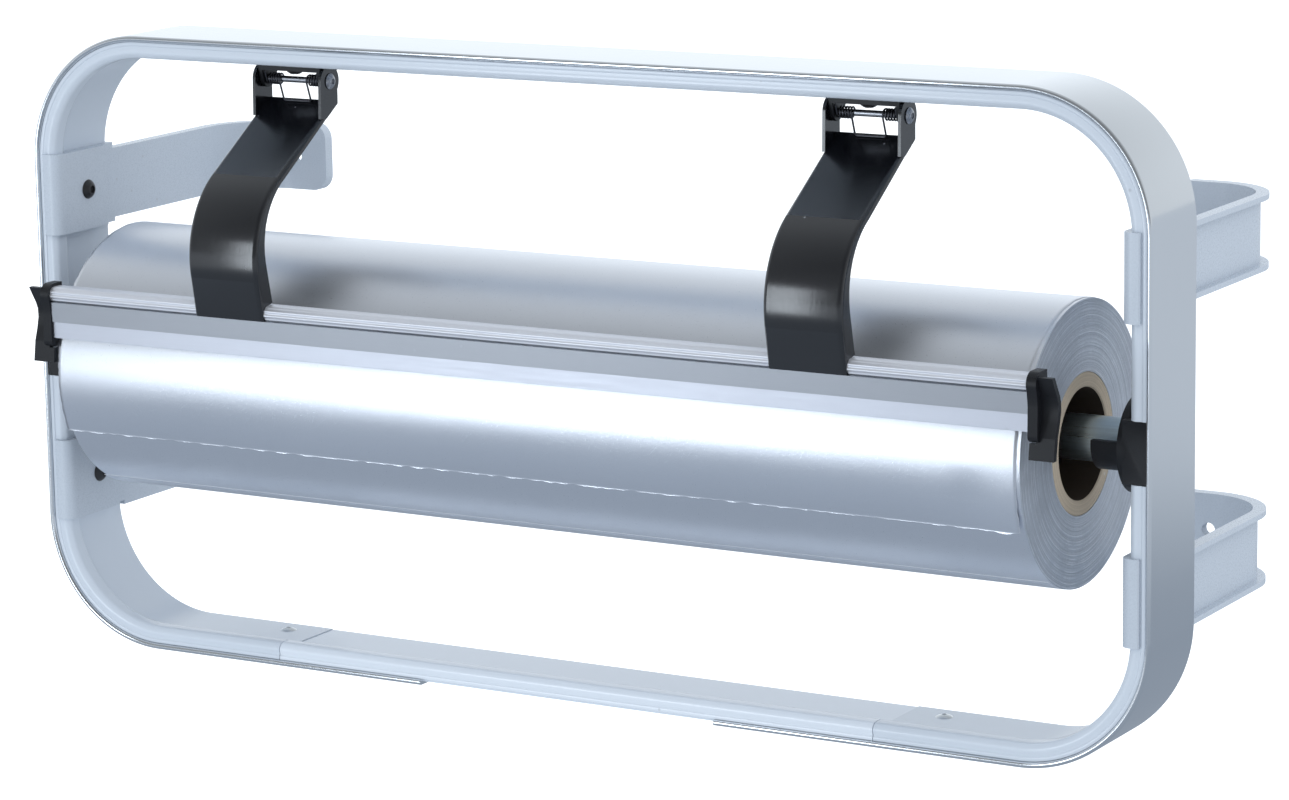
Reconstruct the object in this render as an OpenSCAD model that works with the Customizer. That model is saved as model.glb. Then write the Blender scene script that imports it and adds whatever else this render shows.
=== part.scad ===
// Wall-mounted roll dispenser with an open frame and a sprung cutter bar.
// Millimetres. X to the right, Y towards the wall, Z up. The wall is the plane y = 0 and
// the origin is the middle of the four wall screws. The frame is as wide as the roll needs.

/* [Frame] */
// Distance from each end of the roll to the outside of the frame
frame_side = 42; // [38:0.5:60]
// Height of the frame over its outer band
frame_h = 298; // [286:2:330]
// Depth of the frame from front rim to rear edge
frame_d = 47; // [44:1:54]
// Outer radius of the frame's corners
corner_r = 62.4; // [50:0.2:68]
// Distance from the wall to the middle of the frame's depth
stand_off = 143; // [120:1:165]
// Height of the middle of the frame above the middle of the wall screws
frame_z = 2.5; // [0:0.5:5]
// Thickness of the polished outer band
band_t = 1.5; // [1:0.1:1.8]
// Radius of the bead that edges the band at the front
rim_r = 1.35; // [1.1:0.05:1.6]
// Thickness of the grey profile behind its lip
profile_t = 6.2; // [5.6:0.1:7.4]
// Wall of the hollow profile
profile_wall = 1.5; // [1.2:0.1:1.8]
// Height of the front lip above the flat inner face
lip_h = 3.2; // [2.4:0.1:4]
// Radius of the lip's rounded front
lip_r = 3.6; // [2.6:0.1:4.2]
// Gap between the ends of the band at the bottom
band_gap = 157; // [120:1:200]
// Length of the joiner seen between the ends of the profile
joiner_len = 317; // [280:1:360]
// Length of the joiner's tongue inside each end of the profile
tongue_len = 40; // [30:1:60]

/* [Wall brackets] */
// Distance from the outside of the frame to the wall screws, across the part
hole_inset = 42; // [38:1:50]
// Distance from the frame's top and bottom to the wall screws, up the part
hole_drop = 77; // [72:1:90]
// Distance from the frame's top and bottom to the middle of the clips
clip_drop = 79; // [74:1:90]
// Diameter of the wall screw holes
hole_d = 6.6; // [4.5:0.1:7.5]
// Height of a bracket's arm
arm_h = 34; // [30:1:36]
// Height of the clip that grips the frame
clip_h = 39; // [38:1:46]
// Thickness of the clip on the flat inner face
clip_t = 6.5; // [5.4:0.1:7.5]
// Thickness of the bracket's web
web_t = 2.2; // [1.8:0.1:3]
// Thickness of the bracket's flanges
flange_t = 2.5; // [2:0.1:3.2]
// How far the flanges stand out from the web's far side
flange_out = 6; // [5:0.5:8]
// Outer radius of the bend at the wall
bend_r = 35; // [30:1:40]
// Distance from a wall screw to the tip of the foot
foot_tip = 18; // [14:1:24]
// Corner radius of the foot's tip
foot_r = 8; // [5:0.5:10]

/* [Spindle and roll] */
// Outer diameter of the spindle tube
tube_d = 20; // [16:0.5:22]
// Wall of the spindle tube
tube_wall = 1.5; // [1:0.1:2]
// Height of the spindle's axis above the middle of the frame
tube_z = -5; // [-10:0.5:0]
// Length of the foil roll
roll_len = 500; // [440:2:500]
// Diameter of the full foil roll
roll_d = 126.6; // [90:0.2:126.6]
// Thickness by which the torn outer layer stands proud
layer_t = 0.25; // [0.15:0.05:0.3]
// Angle of the torn edge below the horizontal at the front
tear_angle = 26; // [15:1:60]
// Inner diameter of the cardboard core
core_d = 49.2; // [44:0.2:54]
// Wall of the cardboard core
core_wall = 6.7; // [4:0.1:8]
// Bore of the adapters that the tube passes through
adapter_bore = 26.6; // [24:0.2:30]
// Depth of the adapters inside the core's ends
adapter_recess = 20; // [10:1:30]
// Length of an adapter
adapter_len = 28; // [20:1:40]
// Number of ribs in an adapter
adapter_ribs = 6; // [4:1:8]
// Radius of the disc that keeps the roll between the bearings
disc_r = 21.6; // [20:0.2:24]
// Distance from the frame's flat inner face to the disc's inner face
disc_gap = 9.1; // [8.5:0.1:11]
// Diameter of the hub between disc and frame
hub_d = 27.7; // [26:0.1:29]
// Length of the open saddle that carries the tube
saddle_len = 16; // [12:0.5:18]
// Thickness of the saddle
saddle_t = 2.8; // [2:0.1:3.5]

/* [Cutter] */
// Distance from the middle of the part to the middle of each arm
hinge_x = 150.5; // [120:0.5:180]
// Depth of the hinge axis from the middle of the frame
hinge_y = -5; // [-7:0.5:-3]
// Height of the hinge axis below the frame's flat inner face
hinge_drop = 11; // [10.4:0.1:11.4]
// Width of an arm
arm_w = 38.4; // [36:0.4:44]
// Thickness of an arm's sheet
arm_t = 1.5; // [1.2:0.1:1.8]
// Radius of an arm's convex bend, on its front face
arm_bend_r = 45; // [40:1:50]
// Slope of an arm's straight part below the horizontal
arm_slope = 32.5; // [30:0.5:35]
// Lean of an arm's foot back from the vertical
arm_lean = 10; // [8:1:12]
// Radius of the rounded edges along an arm
arm_edge_r = 2.4; // [1.9:0.1:3]
// Diameter of the hinge pins
pin_d = 3; // [2.4:0.1:3.2]
// How far the cutter bar reaches past each end of the roll
bar_over = 7; // [5:0.5:10]
// Radius of the bar's rounded head
head_r = 3.7; // [3.2:0.1:4.2]
// Depth of the grooves between the ribs on the bar's head
groove_d = 0.45; // [0.3:0.05:0.6]
// Height of the tear blade seen below the bar's slanted face
blade_h = 7.7; // [6:0.1:9]
// Thickness of the tear blade
blade_t = 1.3; // [0.8:0.1:1.5]
// Width of an end cap's wing beyond its end wall
wing_w = 7; // [5:0.5:9]

/* [Springs] */
// Diameter of the spring wire
wire_d = 0.9; // [0.8:0.05:1]
// Mean radius of the spring's coils
coil_r = 2.4; // [2.3:0.05:2.6]
// Distance between neighbouring turns
coil_pitch = 1.4; // [1.35:0.05:1.5]
// Turns on each side of a spring
coil_turns = 5; // [4:1:5]

/* [Hidden] */
$fn = 96;

// Clearances shared by several pieces
fit = 0.1;         // between pieces that are fastened together
running = 0.06;    // radial, between a pin or tube and the bore that turns on it
clear = 0.4;       // between pieces that move past each other
lap = 1;           // an arm's straight stretches run this far into its bend
slim = 0.02;       // and are this much slimmer all round, so that they lie inside it
through = 1;       // a cutting shape runs this far past what it cuts

// Frame, with depths measured from the middle of the frame, front negative
frame_w = roll_len + 2 * frame_side;
inner_v = band_t + profile_t;              // flat inner face, from the outer surface
lip_v = inner_v + lip_h;                   // edge of the lip, from the outer surface
front = frame_d / 2;                       // height of the rim in the section
track_v = 2 * rim_r + 0.05;                // where the profile starts beside the band's bead
lip_top = front - 1.2;                     // height of the lip's front
lip_low = front - 9.1;                     // height at which the lip turns to the flat face
lip_c = [lip_v - lip_r, lip_top - lip_r];  // centre of the lip's rounded front
strip_w = 1.9;                             // narrow strip beside the bead, with a groove after it
strip_d = 0.4;
notch_back = 1.6 - lip_low;                // depth to which the lip is notched for the bearings
notch_d = 13.4;
inner_x = frame_w / 2 - inner_v;
inner_z = frame_h / 2 - inner_v;
joiner_step = 0.4;                         // the joiner's flat face lies this much lower
seam_gap = 0.4;
cavity_front = 12;
rivet_from_seam = 18.5;
rivet_depth = 12;
rivet_d = 4;
rivet_head = 8;
rivet_dome = 8.4;                          // radius of its dome
rivet_rise = 1.2;                          // height of its dome

// Brackets
clip_x = inner_x - clip_t;
clip_v = 5.3;                              // the clip starts this far in from the outer surface
clip_over = 1.7;                           // how far it stands out in front of the lip
clip_r = 5;
clip_rear = 16;
heel_t = 2;
web_x = inner_x - 2.8;
bend_c = [web_x + flange_out - bend_r, stand_off - bend_r];
hole_x = frame_w / 2 - hole_inset;
hole_z = frame_h / 2 - hole_drop;
clip_z = frame_h / 2 - clip_drop;
boss_d = hole_d + 7.4;
bolt_y = 0;
bolt_shank = 5;
bolt_head = 9.6;
bolt_head_h = 3;
bolt_key = 4;

// Spindle and roll
disc_x = inner_x - disc_gap;
disc_t = 1.4;
disc_dome = 8.6;                           // radius of the disc's domed back
tube_len = 2 * (disc_x - clear);
tube_hang = 0.3;                           // gap between the adapters' bore and the tube
roll_z = tube_z - (adapter_bore - tube_d) / 2 + tube_hang;
core_r = core_d / 2 + core_wall;
roll_r = roll_d / 2;
notch_z = hub_d / 2;
stub_d = 10;

// Hinges and arms
hinge_z = inner_z - hinge_drop;
ear_r = 7.5;
ear_t = 2;
bracket_w = arm_w - 2 * arm_t - 2 * clear;
base_t = 6.6;
base_front = hinge_y - 5.3;
base_rear = hinge_y + 9.2;
hinge_head = 8.8;
hinge_head_h = 2.2;
pin_reach = arm_w / 2 + 0.3;
pin_head_d = 7.6;
pin_head_h = 1.8;
pin_key = 3;
rivet_end = 0.8;

// Cutter bar: its blade lies just off the roll
bar_len = roll_len + 2 * bar_over;
head_rise = 37.9;                          // height of the bar's head above the roll's axis
head_z = roll_z + head_rise;
blade_drop = 12.9;                         // from there down to the blade's slot
blade_top = head_z - blade_drop;
blade_foot = blade_top - blade_h;
blade_bevel = 1.6;                         // height of the blade's ground edge
blade_gap = 1;                             // between the blade and the roll
blade_front = -sqrt(pow(roll_r + blade_gap, 2) - pow(blade_foot + blade_bevel - roll_z, 2)) - blade_t;
head_c = [blade_front + 2.1, head_z];
rib_step = 38;
rib_count = 4;
first_rib = 65;
ledge = 0.6;                               // the slanted face ends this far in front of the blade
leg_h = 2.5;                               // the bar's leg behind the blade
leg_t = 1.4;
slot_h = 3;                                // height of the slot that holds the blade
bar_end = bar_len / 2;
cap_in = bar_end - 3;
cap_wall = 1.6;
cap_lip = 1.5;
wing_t = 2.9;
wing_root = 25.5;                          // the wing's lower part reaches in under the bar here
screw_head = 6;
screw_head_h = 1.8;
screw_key = 2.5;

// Way of an arm: its slope passes below the hinge and its foot in front of the bar's head, and
// its bend touches both
arm_drop = 9.77;                           // from the pin's axis to the slope's front face
foot_front = head_c[0] - head_r - arm_t / cos(arm_lean);
slope_out = [-sin(arm_slope), cos(arm_slope)];
slope_up = [cos(arm_slope), sin(arm_slope)];
foot_out = [-cos(arm_lean), -sin(arm_lean)];
slope_at = [hinge_y, hinge_z] * slope_out - arm_drop - arm_bend_r;
foot_at = [foot_front, head_z] * foot_out - arm_bend_r;
bend_axis = [slope_at * foot_out[1] - foot_at * slope_out[1],
             slope_out[0] * foot_at - foot_out[0] * slope_at]
    / (slope_out[0] * foot_out[1] - slope_out[1] * foot_out[0]);
bend_start = bend_axis + arm_bend_r * slope_out;
bend_end = bend_axis + arm_bend_r * foot_out;
hinge_along = ([hinge_y, hinge_z] - bend_start) * slope_up;
arm_foot_z = head_z - 3.2;
arm_top_y = hinge_y + 3.5;

// Points along an arc round c from angle a0 to a1
function arc(c, r, a0, a1, n = 12) =
    [for (i = [0:n]) let (a = a0 + (a1 - a0) * i / n) c + r * [cos(a), sin(a)]];

// Sections of the frame: x runs inwards from the outer surface as a negative number, y
// runs towards the front
function flip(points) = [for (p = points) [-p[0], p[1]]];

function band_section() = flip(concat(
    [[0, -front], [0, front - rim_r]],
    arc([rim_r, front - rim_r], rim_r, 180, -80, 20),
    [[band_t, front - 2 * rim_r], [band_t, -front]]));

// The profile's front: a narrow strip beside the bead, a groove, a shallow valley, and the
// lip's rounded ridge
function lip_front(step = 0) = concat(
    [[track_v, lip_top - 0.5], [track_v + 0.5, lip_top], [track_v + strip_w, lip_top - 0.1],
     [track_v + strip_w + strip_d, lip_top - strip_d], [lip_c[0] - 1.6, lip_top - strip_d - 0.1]],
    arc(lip_c, lip_r, 96, 0, 18),
    [[lip_v, lip_low], [lip_v - 0.6, lip_low - 0.9], [inner_v - step, lip_low - 1.4]]);

function profile_section(step = 0) = flip(concat(
    [[band_t, -front], [band_t, front - 2 * rim_r - fit], [track_v, front - 2 * rim_r - fit]],
    lip_front(step), [[inner_v - step, -front]]));

function cavity_section(gap = 0) = flip([
    [band_t + profile_wall + gap, -front + profile_wall + gap],
    [band_t + profile_wall + gap, cavity_front - gap],
    [inner_v - profile_wall - gap, cavity_front - gap],
    [inner_v - profile_wall - gap, -front + profile_wall + gap]]);

// Everything below is drawn about the middle of the frame and set off from the wall here
module on_wall() translate([0, -stand_off, frame_z]) children();

// Turns a drawing in the plane of the frame upright, its height towards the front
module upright() rotate([90, 0, 0]) children();

// A straight run of a section, centred on x, with its outer surface at y = edge
module run(length, edge, at = 0)
    translate([at - length / 2, edge, 0]) rotate([90, 0, 90]) linear_extrude(length) children();

// One rounded corner of the frame
module corner(sx, sy, angle)
    translate([sx * (frame_w / 2 - corner_r), sy * (frame_h / 2 - corner_r), 0])
        rotate([0, 0, angle]) rotate_extrude(angle = 90) translate([corner_r, 0]) children();

// The frame's loop, open by gap in the middle of its bottom run
module loop(gap) {
    straight_w = frame_w - 2 * corner_r;
    straight_h = frame_h - 2 * corner_r;
    piece = (straight_w - gap) / 2;
    run(straight_w, frame_h / 2) children();
    for (side = [-1, 1]) {
        rotate([0, 0, -90 * side]) run(straight_h, frame_w / 2) children();
        rotate([0, 0, 180]) run(piece, frame_h / 2, side * (gap + piece) / 2) children();
    }
    corner(1, 1, 0) children();
    corner(-1, 1, 90) children();
    corner(-1, -1, 180) children();
    corner(1, -1, 270) children();
}

module outer_band() color("gainsboro") on_wall() upright()
    loop(band_gap) polygon(band_section());

// Holes through the profile's inner wall for the bolts, and the notches for the bearings
module profile_cuts() {
    wall = 2 * (profile_wall + through);
    notch_w = lip_v - track_v + through;
    for (sx = [-1, 1]) {
        for (sz = [-1, 1])
            translate([sx * inner_x, bolt_y, sz * clip_z]) rotate([0, 90, 0])
                cylinder(d = bolt_shank + 2 * fit, h = wall, center = true);
        translate([sx * hinge_x, hinge_y, inner_z])
            cylinder(d = bolt_shank + 2 * fit, h = wall, center = true);
        translate([sx * (joiner_len / 2 + rivet_from_seam), rivet_depth, -inner_z])
            cylinder(d = rivet_d + 2 * fit, h = wall, center = true);
        translate([sx * inner_x, 0, tube_z]) rotate([0, 90, 0])
            cylinder(d = stub_d + 2 * fit, h = wall, center = true);
        translate([sx * (frame_w / 2 - track_v - notch_w / 2), notch_back - notch_d / 2, tube_z])
            cube([notch_w, notch_d, 2 * notch_z], center = true);
    }
}

module frame_profile() color("lightsteelblue") on_wall() difference() {
    upright() loop(joiner_len + 2 * seam_gap) difference() {
        polygon(profile_section());
        polygon(cavity_section());
    }
    profile_cuts();
}

module bottom_joiner() color("lightsteelblue") on_wall() difference() {
    upright() rotate([0, 0, 180]) {
        run(joiner_len, frame_h / 2) polygon(profile_section(joiner_step));
        run(joiner_len + 2 * tongue_len, frame_h / 2) polygon(cavity_section(fit));
    }
    for (sx = [-1, 1])
        translate([sx * (joiner_len / 2 + rivet_from_seam), rivet_depth, -inner_z - profile_t / 2])
            cylinder(d = rivet_d + 2 * fit, h = 2 * profile_t, center = true);
}

// Domed blind rivets that hold the joiner's tongues
module joiner_rivets() color("silver") on_wall()
    for (sx = [-1, 1])
        translate([sx * (joiner_len / 2 + rivet_from_seam), rivet_depth, -inner_z]) {
            intersection() {
                translate([0, 0, rivet_rise - rivet_dome]) sphere(r = rivet_dome);
                cylinder(d = rivet_head, h = 2 * rivet_rise);
            }
            translate([0, 0, 2 * profile_wall - profile_t])
                cylinder(d = rivet_d, h = profile_t - 2 * profile_wall + rivet_rise / 2);
        }

// Side of the frame that a bracket grips, as one solid block
module frame_side_block() upright() {
    outline = flip(concat([[0, -front], [0, front], [track_v, front]], lip_front(),
                          [[inner_v, -front]]));
    rotate([0, 0, -90]) run(frame_h - 2 * corner_r, frame_w / 2) polygon(outline);
    corner(1, 1, 0) polygon(outline);
}

// Upper right bracket: a clip over the lip with a heel behind the frame, a channel arm, a bend
// and a foot. Its arm lies at the height at
module bracket(at) difference() {
    union() {
        translate([0, 0, clip_z - clip_h / 2]) linear_extrude(clip_h) polygon(concat(
            [[frame_w / 2 - clip_v, -lip_low], [frame_w / 2 - clip_v, -lip_top - clip_over + 0.6],
             [frame_w / 2 - clip_v - 0.6, -lip_top - clip_over]],
            arc([clip_x + clip_r, clip_r - lip_top - clip_over], clip_r, 270, 180),
            [[clip_x, clip_rear - 1], [clip_x + 1, clip_rear], [web_x, clip_rear + 1.2],
             [web_x, front + heel_t], [frame_w / 2 - track_v, front + heel_t],
             [frame_w / 2 - track_v, 0]]));
        translate([0, 0, at]) {
            translate([0, front, 0]) rotate([-90, 0, 0]) linear_extrude(bend_c[1] - front)
                translate([bend_c[0], 0]) channel();
            translate([bend_c[0], bend_c[1], 0]) rotate_extrude(angle = 90) channel();
            foot(hole_x - foot_tip);
        }
    }
    frame_side_block();
    translate([inner_x, bolt_y, clip_z]) rotate([0, 90, 0])
        cylinder(d = bolt_shank + 2 * fit, h = 3 * clip_t, center = true);
    translate([hole_x, stand_off, at]) rotate([90, 0, 0])
        cylinder(d = hole_d, h = 3 * flange_out, center = true);
}

// Section of the bracket's arm, x measured from the axis of its bend
module channel() difference() {
    translate([bend_r - flange_out, -arm_h / 2]) square([flange_out, arm_h]);
    translate([bend_r - flange_out + web_t, -arm_h / 2 + flange_t])
        square([flange_out, arm_h - 2 * flange_t]);
}

// Rounded tip of the bracket's foot, hollow on the wall side, with a boss for the screw
module foot(foot_end) {
    length = bend_c[0] - foot_end;
    translate([foot_end, stand_off, 0]) rotate([90, 0, 0]) {
        difference() {
            linear_extrude(flange_out) tip_outline(length, arm_h / 2, foot_r);
            translate([flange_t, 0, -through]) linear_extrude(flange_out - web_t + through)
                tip_outline(length, arm_h / 2 - flange_t, foot_r - flange_t);
        }
        translate([foot_tip, 0, 0]) cylinder(d = boss_d, h = flange_out);
    }
}

module tip_outline(length, half, r) polygon(concat(
    [[length, -half]], [[length, half]],
    arc([r, half - r], r, 90, 180, 8), arc([r, r - half], r, 180, 270, 8)));

module place_bracket(sx, sz) color("lightsteelblue") on_wall()
    mirror([sx < 0 ? 1 : 0, 0, 0]) mirror([0, 0, sz < 0 ? 1 : 0]) bracket(hole_z - sz * frame_z);

// Button-head bolts that clamp the clips to the frame
module bracket_bolts() color("dimgray") on_wall()
    for (sx = [-1, 1], sz = [-1, 1])
        translate([sx * clip_x, bolt_y, sz * clip_z]) rotate([0, -90 * sx, 0]) {
            socket_head(bolt_head, bolt_head_h, bolt_key);
            translate([0, 0, profile_wall + clear - clip_t - profile_t])
                cylinder(d = bolt_shank, h = clip_t + profile_t - profile_wall - clear + fit);
        }

// Domed screw head with a hexagon socket, its seat on z = 0
module socket_head(d, h, key) difference() {
    dome_r = (d * d / 4 + h * h) / (2 * h);
    intersection() {
        translate([0, 0, h - dome_r]) sphere(r = dome_r);
        cylinder(d = d, h = h + 1);
    }
    translate([0, 0, h * 0.4]) cylinder(d = key, h = h, $fn = 6);
}

// Bearing for the right-hand side: a disc with a domed back, a hub that seats in the
// notch of the lip, and an open saddle for the tube
module bearing() {
    wall_x = inner_x - disc_x;
    bore_r = tube_d / 2 + running;
    translate([disc_x, 0, tube_z]) difference() {
        union() {
            difference() {
                rotate([0, 90, 0]) rotate_extrude() polygon(concat(
                    [[0, 0], [disc_r, 0], [disc_r, disc_t]],
                    arc([disc_r - disc_dome, disc_t], disc_dome, 0, 55, 10),
                    [[notch_z - fit, wall_x - 1.6], [notch_z - fit, wall_x], [0, wall_x]]));
                translate([-disc_x, 0, -tube_z]) frame_side_block();
            }
            // Block in the lip's notch
            translate([0, 0, -notch_z + fit]) linear_extrude(2 * (notch_z - fit)) polygon(concat(
                [[2.2, -front + 2.6], [2.2, notch_back + 2.8], [wall_x, notch_back + 2.8],
                 [wall_x, notch_back - fit], [wall_x + inner_v - track_v - 2 * fit, notch_back - fit],
                 [wall_x + inner_v - track_v - 2 * fit, -front + 1.7]]));
            translate([wall_x - 0.5, 0, 0]) rotate([0, 90, 0])
                cylinder(d = stub_d, h = profile_wall + 1.5);
            rotate([0, -90, 0]) cylinder(r = bore_r + saddle_t, h = saddle_len);
        }
        rotate([0, -90, 0]) cylinder(r = bore_r, h = saddle_len + through);
        // Open top of the saddle
        translate([-saddle_len - through, -bore_r - saddle_t - through, 2])
            cube([saddle_len + through, 2 * (bore_r + saddle_t + through), bore_r + saddle_t]);
    }
}

module place_bearing(sx) color("dimgray") on_wall() mirror([sx < 0 ? 1 : 0, 0, 0]) bearing();

module spindle_tube() color("lightslategray") on_wall() translate([0, 0, tube_z])
    rotate([0, 90, 0]) difference() {
        cylinder(d = tube_d, h = tube_len, center = true);
        cylinder(d = tube_d - 2 * tube_wall, h = tube_len + 2 * through, center = true);
    }

// Wound foil: its outside is one turn of a spiral that ends at the torn edge
module foil_roll() color("silver") on_wall() translate([-roll_len / 2, 0, roll_z])
    rotate([90, 0, 90]) difference() {
        linear_extrude(roll_len) polygon([for (i = [0:90])
            let (a = 180 + tear_angle - 4 * i, r = roll_r - layer_t * i / 90)
            r * [cos(a), sin(a)]]);
        translate([0, 0, -through]) cylinder(r = core_r, h = roll_len + 2 * through);
    }

module cardboard_core() color("burlywood") on_wall() translate([0, 0, roll_z])
    rotate([0, 90, 0]) difference() {
        cylinder(r = core_r, h = roll_len, center = true);
        cylinder(d = core_d, h = roll_len + 2 * through, center = true);
    }

// Adapter for the right-hand end: sleeve, web, ribs and a bore with a raised rim
module core_adapter() {
    outer = core_d / 2;
    bore = adapter_bore / 2;
    wall = 2;
    web = 6;
    rim = 1.2;
    translate([roll_len / 2 - adapter_recess, 0, roll_z]) rotate([0, -90, 0]) {
        rotate_extrude() polygon([
            [outer, 0], [outer, adapter_len], [outer - wall, adapter_len], [outer - wall, web + wall],
            [bore + wall, web + wall], [bore + wall, adapter_len], [bore, adapter_len], [bore, -rim],
            [bore + wall - 0.4, -rim], [bore + wall - 0.4, 0], [bore + wall, 0], [bore + wall, web],
            [outer - wall, web], [outer - wall, 0]]);
        for (i = [0:adapter_ribs - 1]) rotate([0, 0, 360 / adapter_ribs * (i + 0.5)])
            translate([bore + wall / 2, -wall / 2, 1])
                cube([outer - bore - wall, wall, adapter_len - 2]);
    }
}

module place_adapter(sx) color("dimgray") on_wall() mirror([sx < 0 ? 1 : 0, 0, 0]) core_adapter();

// Hinge bracket: a base block under the frame with two ears round the pin
module hinge_bracket(sx) color("dimgray") on_wall() translate([sx * hinge_x, 0, 0]) difference() {
    union() {
        translate([-bracket_w / 2, base_front, inner_z - base_t])
            cube([bracket_w, base_rear - base_front, base_t]);
        for (side = [-1, 1])
            translate([side * (bracket_w - ear_t) / 2 - ear_t / 2, 0, 0]) rotate([90, 0, 90])
                linear_extrude(ear_t) polygon(concat(
                    [[base_front, inner_z - base_t + lap], [base_front, inner_z - base_t]],
                    arc([hinge_y, hinge_z], pin_d / 2 + 2.7, 205, 335, 12),
                    [[base_rear, inner_z - base_t], [base_rear, inner_z - base_t + lap]]));
    }
    translate([0, hinge_y, hinge_z]) rotate([0, 90, 0])
        cylinder(d = pin_d + 2 * slim, h = bracket_w + 2 * through, center = true);
    translate([0, hinge_y, inner_z - base_t])
        cylinder(d = bolt_shank + 2 * fit, h = 3 * base_t, center = true);
}

// Bolts that hold the hinge brackets up against the frame
module hinge_bolts() color("dimgray") on_wall()
    for (sx = [-1, 1])
        translate([sx * hinge_x, hinge_y, inner_z - base_t]) {
            mirror([0, 0, 1]) socket_head(hinge_head, hinge_head_h, bolt_key);
            translate([0, 0, -fit]) cylinder(d = bolt_shank, h = base_t + profile_wall + hinge_head_h);
        }

module hinge_pin(sx) color("silver") on_wall() translate([sx * hinge_x, hinge_y, hinge_z])
    rotate([0, 90, 0]) {
        translate([0, 0, -pin_reach]) cylinder(d = pin_d, h = 2 * pin_reach);
        translate([0, 0, pin_reach]) socket_head(pin_head_d, pin_head_h, pin_key);
        translate([0, 0, -pin_reach - rivet_end]) cylinder(d = pin_d + 2 * rivet_end, h = rivet_end);
    }

// Puts a drawing of depth and height upright, its own height across the part
module side_view(across = 0) translate([across, 0, 0]) rotate([90, 0, 90]) children();

// Section across an arm: an open channel with rounded outer edges. Its front face lies on
// x = 0 and its width along y
module arm_section(depth, inset = 0) {
    half = arm_w / 2 - inset;
    edge_r = arm_edge_r - inset;
    in_half = arm_w / 2 - arm_t + inset;
    in_top = inset - arm_t;
    in_r = max(arm_edge_r - arm_t, 0.3) + inset;
    rotate(-90) polygon(concat(
        [[-half, -depth]], arc([edge_r - half, -arm_edge_r], edge_r, 180, 90, 6),
        arc([half - edge_r, -arm_edge_r], edge_r, 90, 0, 6), [[half, -depth]], [[in_half, -depth]],
        arc([in_half - in_r, in_top - in_r], in_r, 0, 90, 4),
        arc([in_r - in_half, in_top - in_r], in_r, 90, 180, 4), [[-in_half, -depth]]));
}

// The channel along its whole way: straight part, convex bend, foot in front of the bar
module arm_channel() side_view() {
    depth = 12;
    straight = hinge_along + 4.2;
    foot = 40;
    translate(bend_start) rotate(90 + arm_slope) rotate([90, 0, 0])
        translate([0, 0, -lap]) linear_extrude(straight + lap) arm_section(depth, slim);
    translate(bend_axis) rotate(90 + arm_slope) rotate_extrude(angle = 90 - arm_slope + arm_lean)
        translate([arm_bend_r, 0]) arm_section(depth);
    translate(bend_end) rotate(180 + arm_lean) rotate([90, 0, 0])
        translate([0, 0, -foot]) linear_extrude(foot + lap) arm_section(depth, slim);
}

// A place along the arm's slope and outwards from its front face
function on_slope(along, out) = bend_start + along * slope_up + out * slope_out;

// Side view of an arm: it trims the flanges, which are low on the slope and deep below it
function arm_outline() = concat(
    [on_slope(hinge_along + 4.2, 2), on_slope(0, 2)],
    arc(bend_axis, arm_bend_r + 2, 90 + arm_slope, 180 + arm_lean, 10),
    [[foot_front - 3, arm_foot_z], [head_c[0] - 2.5, arm_foot_z],
     [head_c[0], head_z + head_r - 0.1], [head_c[0] + 3.5, head_z + head_r + 0.8]],
    arc(bend_axis + [-2.7, 6.6], arm_bend_r - 10.1, 190, 118, 10),
    [on_slope(hinge_along - 11.8, -2.6), on_slope(hinge_along + 4.2, -2.6)]);

// Ear round the pin, down to the slope
function ear_outline() = concat(
    arc([hinge_y, hinge_z], ear_r, -35, 180, 20),
    [on_slope(hinge_along - 15.8, -0.1), on_slope(hinge_along - 11.8, -2.8),
     on_slope(hinge_along - 0.8, -2.8)]);

module arm(sx) color("dimgray") on_wall() translate([sx * hinge_x, 0, 0]) difference() {
    union() {
        difference() {
            intersection() {
                arm_channel();
                side_view(-arm_w) linear_extrude(2 * arm_w) polygon(arm_outline());
            }
            // The sheet's top end, open between the ears
            translate([-arm_w, arm_top_y, hinge_z - arm_w]) cube([2 * arm_w, arm_w, 2 * arm_w]);
        }
        for (side = [-1, 1])
            side_view(side * (arm_w - arm_t) / 2 - arm_t / 2) linear_extrude(arm_t)
                polygon(ear_outline());
    }
    translate([0, hinge_y, hinge_z]) rotate([0, 90, 0])
        cylinder(r = pin_d / 2 + running, h = arm_w + 2 * through, center = true);
    bar_solid(arm_w + 10, slim);
}

// Outline of the cutter bar: ribbed head, slanted face, leg behind the blade
function bar_points(grow = 0) = concat(
    [[head_c[0] + 4.5, head_z + head_r + grow]],
    [for (a = [100:4:236]) let (
        rib = a < 180 - first_rib || a > 180 - first_rib + rib_step * (rib_count - 1)
            ? 0 : pow(sin((a - 180 + first_rib) * 180 / rib_step), 2))
        head_c + (head_r + grow - (grow > 0 ? 0 : groove_d * rib)) * [cos(a), sin(a)]],
    [[head_c[0] - 3.2 - grow, head_z - 3.5], [blade_front - ledge - grow, blade_top]],
    [[blade_front - grow, blade_top - (grow > 0 ? blade_h : 0)],
     [blade_front + blade_t + fit / 2, blade_top - (grow > 0 ? blade_h : 0)],
     [blade_front + blade_t + fit / 2, blade_top - leg_h],
     [blade_front + blade_t + leg_t, blade_top - leg_h],
     [blade_front + blade_t + leg_t, blade_top + 6], [head_c[0] + 4.5, head_z - head_r + 1.2]]);

module bar_solid(length, grow = 0)
    translate([-length / 2, 0, 0]) rotate([90, 0, 90]) linear_extrude(length)
        polygon(bar_points(grow));

module cutter_bar() color("lightgray") on_wall() difference() {
    bar_solid(bar_len);
    blade_slot(fit);
}

module blade_slot(gap)
    translate([0, blade_front + blade_t / 2, blade_top + slot_h / 2])
        cube([bar_len + 2 * through, blade_t + gap, slot_h + gap], center = true);

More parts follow.
